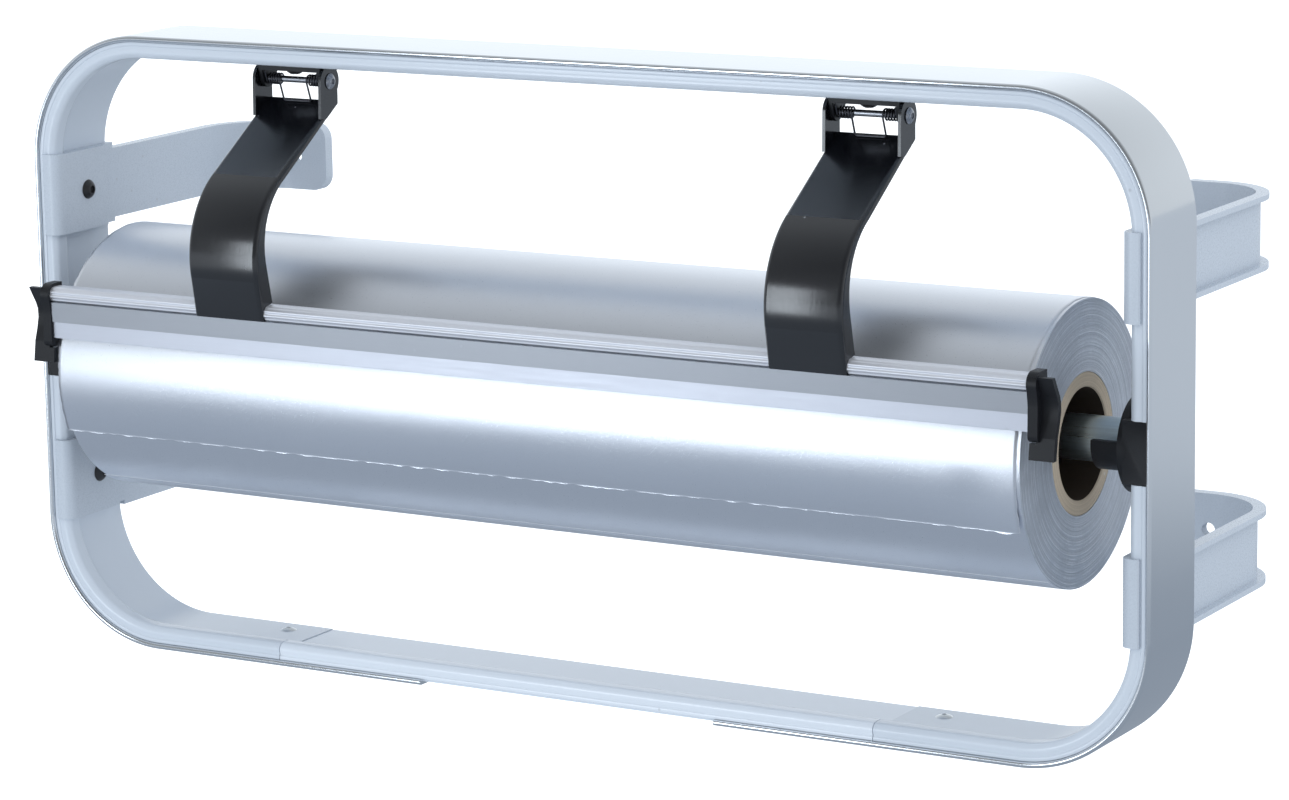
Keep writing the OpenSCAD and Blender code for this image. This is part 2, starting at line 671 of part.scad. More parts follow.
// Blade with a ground edge towards the roll
module tear_blade() color("whitesmoke") on_wall() translate([-bar_len / 2, 0, 0])
    rotate([90, 0, 90]) linear_extrude(bar_len) polygon([
        [blade_front, blade_top + slot_h - fit], [blade_front, blade_foot],
        [blade_front + 0.3, blade_foot], [blade_front + blade_t, blade_foot + blade_bevel],
        [blade_front + blade_t, blade_top + slot_h - fit]]);

// Screws from behind the bar into the arms' feet
module arm_screws() color("silver") on_wall()
    for (sx = [-1, 1], dx = [-arm_w / 4, arm_w / 4])
        translate([sx * hinge_x + dx, head_c[0] + 4.5, head_z]) rotate([-90, 0, 0])
            socket_head(screw_head, screw_head_h, screw_key);

// End cap for the right-hand end: a hood over the bar's outline and a waved wing
module end_cap() {
    neck_z = head_z - 8.6;
    hood = concat(
        [[head_c[0] + 6, head_z + head_r + cap_lip]],
        arc(head_c, head_r + cap_lip, 90, 212, 14),
        [[blade_front - cap_lip, neck_z + 0.8], [blade_front - cap_lip + 0.2, neck_z - 1]],
        arc([blade_front + 1.4, blade_foot - 1.3], 3, 180, 330, 10),
        [[head_c[0] + 6, blade_foot + 2.7]]);
    // The wing's wave: depth and height from the head, front side and then the back side
    wave = [[-4.3, 3.3], [-1.9, -0.9], [0.5, -4.9], [1.7, -7.9], [1.9, -11.9], [0.7, -16.9],
            [-1.3, -22.9], [-2.7, -32.4]];
    wing = [for (p = concat(wave, [for (i = [len(wave) - 1:-1:0]) wave[i] + [wing_t, 0]]))
        head_c + p];
    difference() {
        union() {
            translate([cap_in, 0, 0]) rotate([90, 0, 90]) linear_extrude(bar_end - cap_in + cap_wall)
                polygon(hood);
            translate([bar_end, 0, 0]) rotate([90, 0, 90]) linear_extrude(cap_wall + wing_w)
                polygon(wing);
            intersection() {
                translate([cap_in, 0, 0]) rotate([90, 0, 90]) linear_extrude(bar_end - cap_in + lap)
                    polygon(wing);
                translate([cap_in, head_c[0] - wing_root, head_z - 2 * wing_root])
                    cube([bar_end, 2 * wing_root, wing_root]);
            }
        }
        bar_solid(bar_len, 0.05);
        blade_slot(fit);
    }
}

module place_cap(sx) color("dimgray") on_wall() mirror([sx < 0 ? 1 : 0, 0, 0]) end_cap();

// Double torsion spring: outer leg, left coils, middle leg, right coils, outer leg. Its legs
// leave the coils on a tangent, and points are depths and heights from the pin's axis
coil_gap = 0.25;                           // between the coils and the hinge bracket's ears
coil_out = bracket_w / 2 - ear_t - coil_gap - wire_d / 2;
coil_in = coil_out - coil_pitch * coil_turns;
rings = 8;
leg_angle = 200;
leg_dir = [-sin(leg_angle), cos(leg_angle)];
leg_root = coil_r * [cos(leg_angle), sin(leg_angle)];
leg_gap = wire_d / 2 + 0.15;
leg_up = (leg_root[1] - hinge_drop + base_t + leg_gap) / leg_dir[1];
leg_down = ((leg_root + [hinge_y, hinge_z] - bend_start) * slope_out - leg_gap)
    / -(leg_dir * slope_out);

function leg_point(x, along) = concat([x], leg_root + along * leg_dir);

function coil(side) = [for (i = [0:coil_turns * rings])
    let (t = i / rings, a = leg_angle + 360 * t)
    [side * (coil_out - coil_pitch * t), coil_r * cos(a), coil_r * sin(a)]];

function spring_half(side) = concat(
    [leg_point(side * coil_out, -leg_up), leg_point(side * coil_out, -leg_up / 2)],
    coil(side),
    [leg_point(side * coil_in, leg_down / 2), leg_point(side * coil_in, leg_down - 1.2),
     leg_point(side * (coil_in - 0.35), leg_down - 0.35), leg_point(side * (coil_in - 1.2), leg_down)]);

function reversed(list) = [for (i = [len(list) - 1:-1:0]) list[i]];

function unit(v) = v / norm(v);

function heading(path, i) = unit(path[min(i + 1, len(path) - 1)] - path[max(i - 1, 0)]);

function square_to(v, t) = unit(v - (v * t) * t);

// A side direction at each point of a path, carried along it so that the tube doesn't twist
function sides_along(path) = [for (
    i = 0, u = square_to([1, 0, 0], heading(path, 0)); i < len(path);
    i = i + 1, u = square_to(u, heading(path, i))) u];

function ring_points(path, r, sides) =
    let (across = sides_along(path))
    [for (i = [0:len(path) - 1])
        let (u = across[i], v = cross(heading(path, i), u))
        for (k = [0:sides - 1])
            path[i] + r * (cos(360 * k / sides) * u + sin(360 * k / sides) * v)];

// Least gap of a tube to itself, between points at least five apart along its path
function self_gap(path, d) = min([for (i = [0:len(path) - 6], j = [i + 5:len(path) - 1])
    norm(path[i] - path[j])]) - d;

module sweep(path, r, sides = 6) {
    n = len(path);
    polyhedron(ring_points(path, r, sides), concat(
        [[for (k = [0:sides - 1]) k]],
        [for (i = [0:n - 2], k = [0:sides - 1])
            let (next = (k + 1) % sides)
            [i * sides + k, (i + 1) * sides + k, (i + 1) * sides + next, i * sides + next]],
        [[for (k = [sides - 1:-1:0]) (n - 1) * sides + k]]));
}

spring_path = concat(spring_half(-1), reversed(spring_half(1)));

module torsion_spring(sx) color("dimgray") on_wall()
    translate([sx * hinge_x, hinge_y, hinge_z]) sweep(spring_path, wire_d / 2);

echo("Least gap between the turns of a spring, in millimetres", self_gap(spring_path, wire_d));

outer_band();
frame_profile();
bottom_joiner();
joiner_rivets();
place_bracket(-1, 1);  // bracket_top_left
place_bracket(1, 1);  // bracket_top_right
place_bracket(-1, -1);  // bracket_bottom_left
place_bracket(1, -1);  // bracket_bottom_right
bracket_bolts();
place_bearing(-1);  // bearing_left
place_bearing(1);  // bearing_right
spindle_tube();
foil_roll();
cardboard_core();
place_adapter(-1);  // core_adapter_left
place_adapter(1);  // core_adapter_right
hinge_bracket(-1);  // hinge_bracket_left
hinge_bracket(1);  // hinge_bracket_right
hinge_bolts();
hinge_pin(-1);  // hinge_pin_left
hinge_pin(1);  // hinge_pin_right
arm(-1);  // arm_left
arm(1);  // arm_right
arm_screws();
torsion_spring(-1);  // torsion_spring_left
torsion_spring(1);  // torsion_spring_right
cutter_bar();
tear_blade();
place_cap(-1);  // end_cap_left
place_cap(1);  // end_cap_right
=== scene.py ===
"""Looks of a wall-mounted roll dispenser with a sprung cutter bar.

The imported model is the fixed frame. Every sub-assembly here is a class that holds its sizes in
metres, builds its meshes over the solids and dresses them. X runs to the right, Y towards the
wall and Z up; the wall is the plane y = 0.
"""

import logging
import math
from dataclasses import dataclass
from enum import Enum
from functools import cached_property
from typing import Iterable, Mapping, Sequence

import bmesh
import bpy
from bmesh.types import BMEdge, BMesh, BMVert
from mathutils import Matrix, Vector, noise


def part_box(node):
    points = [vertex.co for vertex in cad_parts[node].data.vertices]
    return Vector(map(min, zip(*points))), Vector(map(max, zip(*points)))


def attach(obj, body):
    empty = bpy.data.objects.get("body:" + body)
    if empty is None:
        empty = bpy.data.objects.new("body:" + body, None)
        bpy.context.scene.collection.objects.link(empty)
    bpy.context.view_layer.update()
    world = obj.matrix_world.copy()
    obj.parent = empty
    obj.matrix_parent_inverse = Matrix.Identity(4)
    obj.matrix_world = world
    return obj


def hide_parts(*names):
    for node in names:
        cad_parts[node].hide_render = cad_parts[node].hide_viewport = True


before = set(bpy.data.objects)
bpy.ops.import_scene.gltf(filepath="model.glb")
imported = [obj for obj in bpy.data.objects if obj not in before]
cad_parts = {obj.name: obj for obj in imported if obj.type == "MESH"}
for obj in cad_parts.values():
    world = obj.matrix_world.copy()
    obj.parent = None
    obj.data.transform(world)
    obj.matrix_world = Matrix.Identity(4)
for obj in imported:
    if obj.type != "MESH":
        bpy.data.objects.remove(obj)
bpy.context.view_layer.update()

log = logging.getLogger("dispenser")

MM = 0.001
TURN = 2 * math.pi
SIDES = {"left": -1, "right": 1}

Colour = tuple[float, float, float]
Place = tuple[float, float, float]
Point = tuple[float, float]
Socket = bpy.types.NodeSocket

# Points nearer than these are merged, and faces flatter than this to each other are joined
WELD = 0.002 * MM
AXIS_WELD = 0.001 * MM
FLAT = math.radians(0.3)

# Where most of a grain's values lie
GRAIN_RANGE: Point = (0.3, 0.7)


class Body(Enum):
    """The moving bodies of the part."""

    FRAME = "frame"
    CUTTER = "cutter"
    SPINDLE = "spindle"
    ROLL = "roll"


class Axis(Enum):
    """How a grain is stretched by the way a surface was drawn or rolled."""

    ACROSS = (0.02, 1.0, 1.0)
    UP = (1.0, 1.0, 0.03)
    NONE = (1.0, 1.0, 1.0)


def measured(node: str) -> tuple[Place, Place]:
    """Measures a solid, to a micrometre.

    Args:
        node: The solid.

    Returns:
        The middle of its box, and its width, depth and height.
    """
    low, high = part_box(node)
    middle = tuple(round((a + b) / 2, 6) for a, b in zip(low, high))
    return middle, tuple(round(b - a, 6) for a, b in zip(low, high))


# Places and sizes that the solids give
(_, FRAME_Y, FRAME_Z), (FRAME_W, FRAME_D, FRAME_H) = measured("outer_band")
(_, _, ROLL_Z), (CORE_LEN, _, CORE_D) = measured("cardboard_core")
(_, _, TUBE_Z), (TUBE_LEN, _, TUBE_D) = measured("spindle_tube")
(_, PIN_Y, PIN_Z), _ = measured("hinge_pin_left")
_, (BAR_LEN, _, _) = measured("cutter_bar")

# Sizes of the frame's two sections
BAND_T = 1.5 * MM
RIM_R = 1.35 * MM
INNER_V = 7.7 * MM


class Graph:
    """One node tree while it is laid out."""

    def __init__(self, tree: bpy.types.NodeTree) -> None:
        """Takes over an empty tree."""
        self.tree = tree

    def add(self, kind: str, **settings: object) -> bpy.types.Node:
        """Adds a node.

        Args:
            kind: The node type's identifier.
            settings: Attributes to set on it.

        Returns:
            The new node.
        """
        node = self.tree.nodes.new(kind)
        for key, value in settings.items():
            setattr(node, key, value)
        return node

    def feed(self, socket: Socket, value: object) -> None:
        """Feeds an input.

        Args:
            socket: The input.
            value: A socket to link to it, or the input's own value.
        """
        if isinstance(value, Socket):
            self.tree.links.new(value, socket)
        else:
            socket.default_value = value

    def sum_up(self, operation: str, first: object, second: object = 0.0) -> Socket:
        """Does one step of arithmetic.

        Args:
            operation: Its identifier, such as MULTIPLY.
            first: A socket or a number.
            second: A socket or a number.

        Returns:
            The result's socket.
        """
        node = self.add("ShaderNodeMath", operation=operation)
        self.feed(node.inputs[0], first)
        self.feed(node.inputs[1], second)
        return node.outputs[0]

    def times(self, first: object, second: object) -> Socket:
        """Multiplies two sockets or numbers."""
        return self.sum_up("MULTIPLY", first, second)

    def plus(self, first: object, second: object) -> Socket:
        """Adds two sockets or numbers."""
        return self.sum_up("ADD", first, second)

    def mix(self, share: object, first: object, second: object,
            blend: str = "MIX") -> Socket:
        """Mixes two colours.

        Args:
            share: How much of the second shows.
            first: A colour or socket.
            second: A colour or socket.
            blend: Identifier of the way they mix.

        Returns:
            The mixed colour's socket.
        """
        node = self.add("ShaderNodeMix", data_type="RGBA", blend_type=blend)
        for index, value in ((0, share), (6, first), (7, second)):
            self.feed(node.inputs[index], (*value, 1.0) if isinstance(value, tuple) else value)
        return node.outputs[2]

    def choose(self, share: object, first: Socket,
               second: Socket) -> Socket:
        """Mixes two shaders.

        Args:
            share: How much of the second shows.
            first: A shader.
            second: A shader.

        Returns:
            The mixed shader's socket.
        """
        node = self.add("ShaderNodeMixShader")
        for socket, value in zip(node.inputs, (share, first, second)):
            self.feed(socket, value)
        return node.outputs[0]

    def rescale(self, value: object, low: float, high: float, to_low: float, to_high: float,
                smooth: bool = False) -> Socket:
        """Maps one range of a value to another, clamped.

        Args:
            value: The value's socket.
            low: Start of its range.
            high: End of its range.
            to_low: What the start becomes.
            to_high: What the end becomes.
            smooth: Whether the change eases in and out.

        Returns:
            The mapped value's socket.
        """
        way = "SMOOTHSTEP" if smooth else "LINEAR"
        node = self.add("ShaderNodeMapRange", clamp=True, interpolation_type=way)
        for index, number in enumerate((value, low, high, to_low, to_high)):
            self.feed(node.inputs[index], number)
        return node.outputs[0]

    def noise(self, vector: object, scale: object, detail: float = 3.0,
              roughness: float = 0.5) -> Socket:
        """Samples a noise field.

        Args:
            vector: Where to sample it.
            scale: Its frequency, per metre.
            detail: How many finer layers it has.
            roughness: How strong they are.

        Returns:
            A value round a half.
        """
        node = self.add("ShaderNodeTexNoise")
        self.feed(node.inputs["Vector"], vector)
        self.feed(node.inputs["Scale"], scale)
        self.feed(node.inputs["Detail"], detail)
        self.feed(node.inputs["Roughness"], roughness)
        return node.outputs["Fac"]

    def place(self, vector: object, scale: Sequence[float] = (1, 1, 1),
              shift: Sequence[float] = (0, 0, 0)) -> Socket:
        """Stretches and moves a pattern.

        Args:
            vector: The pattern's coordinates.
            scale: How much each axis is stretched.
            shift: How far each axis is moved.

        Returns:
            The mapped vector's socket.
        """
        node = self.add("ShaderNodeMapping")
        self.feed(node.inputs["Vector"], vector)
        node.inputs["Scale"].default_value = scale
        node.inputs["Location"].default_value = shift
        return node.outputs[0]

    def use(self, effect: bpy.types.NodeTree, **values: object) -> Mapping[str, Socket]:
        """Places a shared effect.

        Args:
            effect: The effect's group.
            values: Its inputs by name.

        Returns:
            Its outputs by name.
        """
        node = self.add("ShaderNodeGroup", node_tree=effect)
        for name, value in values.items():
            self.feed(node.inputs[name], value)
        return node.outputs


def cleared(holder: bpy.types.Material | bpy.types.World) -> Graph:
    """Clears the node tree of a material or world.

    Args:
        holder: The material or world.

    Returns:
        Its empty tree, ready to lay out.
    """
    holder.use_nodes = True
    holder.node_tree.nodes.clear()
    return Graph(holder.node_tree)


class Group(Graph):
    """A shader node group while it is laid out, for several materials to share."""

    def __init__(self, name: str, inputs: Sequence[str], outputs: Sequence[str]) -> None:
        """Makes the group with its sockets.

        Args:
            name: The group's name.
            inputs: Names of its numbers. A vector comes before them.
            outputs: Names of the numbers it puts out.
        """
        super().__init__(bpy.data.node_groups.new(name, "ShaderNodeTree"))
        face = self.tree.interface
        face.new_socket(name="Vector", in_out="INPUT", socket_type="NodeSocketVector")
        for way, labels in (("INPUT", inputs), ("OUTPUT", outputs)):
            for label in labels:
                face.new_socket(name=label, in_out=way, socket_type="NodeSocketFloat")
        self.given = self.add("NodeGroupInput").outputs
        self.out = self.add("NodeGroupOutput").inputs


class Effects:
    """Surface effects that more than one finish uses. Each is made once."""

    FINE_CLOUDS = 9.0
    WIDE_SHARE = 0.65
    NARROW_LINES = 4.0
    BROAD_SHARE = 0.6
    SPECK_CORE = 0.06
    SPECK_RIM = 0.16
    WANDER_SCALE = 26.0
    WANDER_DEPTH = 0.0016
    PATCH_SCALE = 60.0
    PATCH_RANGE = (0.4, 0.7)
    TORN_LINES = 3.1
    TORN_RANGE = (0.5, 0.75)

    @cached_property
    def clouding(self) -> bpy.types.NodeTree:
        """Soft cloudy change of tone.

        Returns:
            A group that puts out a factor round one.
        """
        group = Group("clouding", ("Scale", "Spread"), ("Factor",))
        vector, scale = group.given["Vector"], group.given["Scale"]
        wide = group.noise(vector, scale, 2.0)
        fine = group.noise(vector, group.times(scale, self.FINE_CLOUDS))
        both = group.plus(group.times(wide, self.WIDE_SHARE),
                          group.times(fine, 1 - self.WIDE_SHARE))
        centred = group.sum_up("SUBTRACT", both, 0.5)
        swing = group.times(centred, group.times(group.given["Spread"], 2.0))
        group.feed(group.out["Factor"], group.plus(swing, 1.0))
        return group.tree

    @cached_property
    def grain(self) -> bpy.types.NodeTree:
        """Fine lines of a drawn, rolled or brushed metal, along an already stretched vector.

        Returns:
            A group that puts out the lines' height, in two widths of line.
        """
        group = Group("grain", ("Scale",), ("Lines",))
        vector, scale = group.given["Vector"], group.given["Scale"]
        broad = group.noise(vector, scale, 2.0, 0.6)
        narrow = group.noise(vector, group.times(scale, self.NARROW_LINES), 2.0, 0.6)
        lines = group.plus(group.times(broad, self.BROAD_SHARE),
                           group.times(narrow, 1 - self.BROAD_SHARE))
        group.feed(group.out["Lines"], lines)
        return group.tree

    @cached_property
    def specks(self) -> bpy.types.NodeTree:
        """Sparse dust and tiny marks, in the middles of a few cells.

        Returns:
            A group that puts out one where a speck is.
        """
        group = Group("specks", ("Scale", "Share"), ("Mask",))
        cells = group.add("ShaderNodeTexVoronoi", feature="F1")
        group.feed(cells.inputs["Vector"], group.given["Vector"])
        group.feed(cells.inputs["Scale"], group.given["Scale"])
        near = group.rescale(cells.outputs["Distance"], self.SPECK_CORE, self.SPECK_RIM, 1.0, 0.0)
        pick = group.add("ShaderNodeSeparateColor")
        group.feed(pick.inputs[0], cells.outputs["Color"])
        chosen = group.sum_up("LESS_THAN", pick.outputs[0], group.given["Share"])
        group.feed(group.out["Mask"], group.times(near, chosen))
        return group.tree

    @cached_property
    def windings(self) -> bpy.types.NodeTree:
        """Uneven rings round the X axis, as the edges of wound layers.

        Returns:
            A group that puts out the rings' height and a mask of their torn edges.
        """
        group = Group("windings", ("Scale",), ("Height", "Edges"))
        vector, scale = group.given["Vector"], group.given["Scale"]
        parts = group.add("ShaderNodeSeparateXYZ")
        group.feed(parts.inputs[0], vector)
        squares = [group.times(parts.outputs[i], parts.outputs[i]) for i in (1, 2)]
        radius = group.sum_up("SQRT", group.plus(*squares))
        wander = group.noise(vector, self.WANDER_SCALE, 2.0)
        along = group.add("ShaderNodeCombineXYZ")
        group.feed(along.inputs[0], group.plus(radius, group.times(wander, self.WANDER_DEPTH)))
        line = group.place(along.outputs[0], shift=(0.3, 0.1, 0.7))
        broad = group.noise(line, scale, 3.0, 0.7)
        patches = group.noise(vector, self.PATCH_SCALE, 3.0, 0.6)
        thin = group.noise(line, group.times(scale, self.TORN_LINES), 2.0)
        torn = group.times(group.rescale(thin, *self.TORN_RANGE, 0.0, 1.0),
                           group.rescale(patches, *self.PATCH_RANGE, 0.0, 1.0))
        group.feed(group.out["Height"], group.plus(broad, torn))
        group.feed(group.out["Edges"], torn)
        return group.tree


EFFECTS = Effects()


@dataclass(frozen=True)
class Finish:
    """A surface finish: plain numbers sit on the shader, and what changes over it is wired in.

    Its scales are per metre. Its tones, shares, spreads and strengths are fractions of one.
    """

    name: str
    colour: Colour
    roughness: float
    metallic: float = 0.0
    specular: float = 0.5
    cloud_scale: float = 14.0
    cloud_spread: float = 0.04
    grain_axis: Axis = Axis.NONE
    grain_scale: float = 900.0
    grain_tone: float = 0.0
    grain_height: float = 0.02
    roughness_spread: float = 0.12
    speck_scale: float = 160.0
    speck_share: float = 0.02
    speck_colour: Colour = (0.6, 0.62, 0.66)
    speck_strength: float = 0.5
    speck_roughness: float = 0.15

    def tone(self, graph: Graph, place: Socket) -> tuple[Socket, Socket, Socket]:
        """Works out colour, roughness and height over the surface.

        Args:
            graph: The material's tree.
            place: Object coordinates.

        Returns:
            Sockets of the colour, the roughness and the height.
        """
        cloud = graph.use(EFFECTS.clouding, Vector=place, Scale=self.cloud_scale,
                          Spread=self.cloud_spread)["Factor"]
        drawn = graph.place(place, self.grain_axis.value)
        lines = graph.use(EFFECTS.grain, Vector=drawn, Scale=self.grain_scale)["Lines"]
        speck = graph.use(EFFECTS.specks, Vector=place, Scale=self.speck_scale,
                          Share=self.speck_share)["Mask"]
        lined = graph.rescale(lines, *GRAIN_RANGE, 1.0 - self.grain_tone, 1.0 + self.grain_tone)
        tone = graph.mix(1.0, self.colour, graph.times(cloud, lined), "MULTIPLY")
        colour = graph.mix(graph.times(speck, self.speck_strength), tone, self.speck_colour)
        spread = self.roughness * self.roughness_spread
        rough = graph.rescale(lines, *GRAIN_RANGE, self.roughness - spread,
                              self.roughness + spread)
        return colour, graph.plus(rough, graph.times(speck, self.speck_roughness)), lines

    def material(self) -> bpy.types.Material:
        """Builds the material.

        Returns:
            The material, with one Principled shader.
        """
        made = bpy.data.materials.new(self.name)
        graph = cleared(made)
        place = graph.add("ShaderNodeTexCoord").outputs["Object"]
        colour, rough, height = self.tone(graph, place)
        bump = graph.add("ShaderNodeBump")
        bump.inputs["Strength"].default_value = self.grain_height
        bump.inputs["Distance"].default_value = MM
        graph.feed(bump.inputs["Height"], height)
        shader = graph.add("ShaderNodeBsdfPrincipled")
        graph.feed(shader.inputs["Base Color"], colour)
        graph.feed(shader.inputs["Roughness"], rough)
        graph.feed(shader.inputs["Normal"], bump.outputs[0])
        shader.inputs["Metallic"].default_value = self.metallic
        shader.inputs["Specular IOR Level"].default_value = self.specular
        graph.feed(graph.add("ShaderNodeOutputMaterial").inputs[0], shader.outputs[0])
        return made


@dataclass(frozen=True)
class Wound(Finish):
    """The end of something wound from thin layers, about an axis along X."""

    axis_y: float = FRAME_Y
    axis_z: float = ROLL_Z
    ring_scale: float = 420.0
    edge_colour: Colour = (0.9, 0.91, 0.94)
    edge_strength: float = 0.5
    ring_range: Point = (0.3, 0.8)
    ring_dark: float = 0.82
    ring_pale: float = 1.12

    def tone(self, graph: Graph, place: Socket) -> tuple[Socket, Socket, Socket]:
        """Adds the rings to the plain tone.

        Args:
            graph: The material's tree.
            place: Object coordinates.

        Returns:
            Sockets of the colour, the roughness and the height.
        """
        colour, rough, _ = super().tone(graph, place)
        centred = graph.place(place, shift=(0, -self.axis_y, -self.axis_z))
        rings = graph.use(EFFECTS.windings, Vector=centred, Scale=self.ring_scale)
        shade = graph.rescale(rings["Height"], *self.ring_range, self.ring_dark, self.ring_pale)
        colour = graph.mix(1.0, colour, shade, "MULTIPLY")
        edges = graph.times(rings["Edges"], self.edge_strength)
        colour = graph.mix(edges, colour, self.edge_colour)
        return colour, rough, rings["Height"]


FINISHES = {finish.name: finish for finish in (
    Finish("polished_band", (0.82, 0.845, 0.87), 0.13, metallic=1.0, grain_axis=Axis.UP,
           grain_height=0.006, cloud_spread=0.02),
    Finish("grey_profile", (0.57, 0.635, 0.72), 0.17, cloud_spread=0.015, grain_scale=1400,
           grain_height=0.008, speck_share=0.01, speck_colour=(0.3, 0.32, 0.36)),
    Finish("grey_joiner", (0.66, 0.725, 0.81), 0.17, cloud_spread=0.015, grain_scale=1400,
           grain_height=0.008, speck_share=0.01, speck_colour=(0.3, 0.32, 0.36)),
    Finish("rivet_metal", (0.74, 0.77, 0.79), 0.3, metallic=1.0),
    Finish("grey_bracket", (0.475, 0.535, 0.615), 0.28, cloud_spread=0.02, grain_scale=1500,
           grain_height=0.012, speck_share=0.012, speck_colour=(0.3, 0.32, 0.36)),
    Finish("black_bolt", (0.018, 0.018, 0.02), 0.32, specular=0.6, grain_height=0.01),
    Finish("black_plastic", (0.007, 0.0078, 0.0105), 0.4, specular=0.4, cloud_spread=0.1,
           grain_scale=1800, grain_height=0.05, speck_share=0.03, speck_colour=(0.2, 0.21, 0.24)),
    Finish("black_hinge", (0.006, 0.0066, 0.0085), 0.34, specular=0.4, grain_height=0.03,
           speck_share=0.05, speck_colour=(0.5, 0.52, 0.56)),
    Finish("black_lacquer", (0.004, 0.0046, 0.0068), 0.18, specular=1.0,
           grain_axis=Axis.UP, grain_scale=700, grain_height=0.03, cloud_spread=0.1,
           speck_share=0.04, speck_scale=240, speck_colour=(0.35, 0.37, 0.42)),
    Finish("pin_steel", (0.42, 0.43, 0.46), 0.28, metallic=1.0, grain_axis=Axis.ACROSS),
    Finish("spring_wire", (0.13, 0.13, 0.145), 0.32, metallic=1.0),
    Finish("screw_steel", (0.60, 0.61, 0.63), 0.3, metallic=1.0),
    Finish("zinc_tube", (0.60, 0.70, 0.74), 0.3, metallic=1.0, grain_axis=Axis.ACROSS,
           grain_tone=0.12, cloud_scale=40, cloud_spread=0.16, grain_height=0.02),
    # Rim of the torn sheet: the foil painted pale and mostly non-metal, a painted highlight along
    # the torn edge
    Finish("foil_edge_painted_highlight", (0.92, 0.94, 0.98), 0.6, metallic=0.2),
    Finish("foil", (0.855, 0.88, 0.93), 0.3, metallic=1.0,
           grain_scale=1300, grain_height=0.09, cloud_scale=9, cloud_spread=0.02,
           roughness_spread=0.1, speck_scale=70, speck_share=0.015,
           speck_colour=(0.25, 0.26, 0.3), speck_strength=0.4),
    # Bore and outside of the core: cardboard painted far darker than its ends, as painted shade
    # inside the bore
    Finish("cardboard", (0.045, 0.033, 0.024), 0.85, specular=0.25, grain_axis=Axis.ACROSS,
           grain_scale=500, grain_tone=0.12, grain_height=0.1, cloud_scale=60, cloud_spread=0.14,
           speck_scale=500, speck_share=0.1, speck_colour=(0.09, 0.065, 0.045)),
    Finish("bar_aluminium", (0.46, 0.475, 0.505), 0.36, metallic=1.0, grain_axis=Axis.ACROSS,
           grain_scale=1500, grain_tone=0.02, grain_height=0.006),
    # Ribbed head: the bar's own metal painted paler, a painted highlight on the ribs
    Finish("bar_head_painted_highlight", (0.82, 0.84, 0.90), 0.4, metallic=0.7, grain_axis=Axis.ACROSS,
           grain_scale=1500, grain_tone=0.02, grain_height=0.006),
    Finish("blade_metal", (0.60, 0.615, 0.67), 0.38, metallic=1.0, grain_axis=Axis.ACROSS,
           grain_scale=1500, grain_tone=0.02, grain_height=0.012),
    Wound("foil_windings", (0.66, 0.695, 0.75), 0.55, metallic=1.0, cloud_scale=45,
          cloud_spread=0.16, grain_height=0.6, roughness_spread=0.2, ring_scale=760.0,
          edge_strength=0.65, speck_scale=700, speck_share=0.1,
          speck_colour=(0.95, 0.96, 0.98), speck_strength=0.5),
    Wound("cardboard_end", (0.50, 0.43, 0.34), 0.9, specular=0.2, cloud_scale=80,
          cloud_spread=0.1, grain_height=0.3, ring_scale=900.0,
          edge_colour=(0.85, 0.8, 0.7), edge_strength=0.3),
)}


class Paint:
    """Hands out each finish's material, made at its first use."""

    _made: dict[str, bpy.types.Material] = {}

    @classmethod
    def of(cls, name: str) -> bpy.types.Material:
        """Finds or makes the material of a finish.

        Args:
            name: The finish's name.

        Returns:
            Its material.
        """
        if name not in cls._made:
            cls._made[name] = FINISHES[name].material()
        return cls._made[name]


def placed(name: str, data: bpy.types.ID) -> bpy.types.Object:
    """Puts an object that shows some data in the scene.

    Args:
        name: The object's name.
        data: Its mesh, curve, lamp or camera.

    Returns:
        The object.
    """
    made = bpy.data.objects.new(name, data)
    bpy.context.scene.collection.objects.link(made)
    return made


def mesh_from(name: str, bm: BMesh) -> bpy.types.Mesh:
    """Writes a finished bmesh to a mesh.

    Args:
        name: The mesh's name.
        bm: Its geometry, which is freed.

    Returns:
        The mesh.
    """
    mesh = bpy.data.meshes.new(name)
    bm.to_mesh(mesh)
    bm.free()
    return mesh


def new_object(name: str, bm: BMesh, finishes: Sequence[str],
               sharp: float = 30.0) -> bpy.types.Object:
    """Turns a finished bmesh into an object at the origin.

    Args:
        name: The piece's name.
        bm: Its geometry, which is freed.
        finishes: Names of its finishes, in the order of the faces' material numbers.
        sharp: Angle in degrees past which an edge stays sharp.

    Returns:
        The new object.
    """
    mesh = mesh_from(name, bm)
    mesh.shade_smooth()
    mesh.set_sharp_from_angle(angle=math.radians(sharp))
    for finish in finishes:
        mesh.materials.append(Paint.of(finish))
    return placed(name, mesh)


def settle(piece: bpy.types.Object, body: Body, slot: str, *nodes: str) -> bpy.types.Object:
    """Puts a piece on its body and hides the solids that it stands for.

    Args:
        piece: The piece.
        body: What it rides on.
        slot: Its material slot; not used.
        nodes: The solids that it stands for.

    Returns:
        The piece.
    """
    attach(piece, body.value)
    if nodes:
        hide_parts(*nodes)
    log.info("%s: %d faces on %s", piece.name, len(piece.data.polygons), body.value)
    return piece


def soften(piece: bpy.types.Object, width: float, segments: int, angle: float) -> None:
    """Rounds a piece's edges with a bevel that keeps its faces flat.

    Args:
        piece: The piece.
        width: Width of the rounding in metres.
        segments: Steps across it.
        angle: Edges sharper than this, in degrees, are rounded.
    """
    bevel = piece.modifiers.new("edges", "BEVEL")
    bevel.width = width
    bevel.segments = segments
    bevel.limit_method = "ANGLE"
    bevel.angle_limit = math.radians(angle)
    bevel.use_clamp_overlap = True
    bevel.harden_normals = True


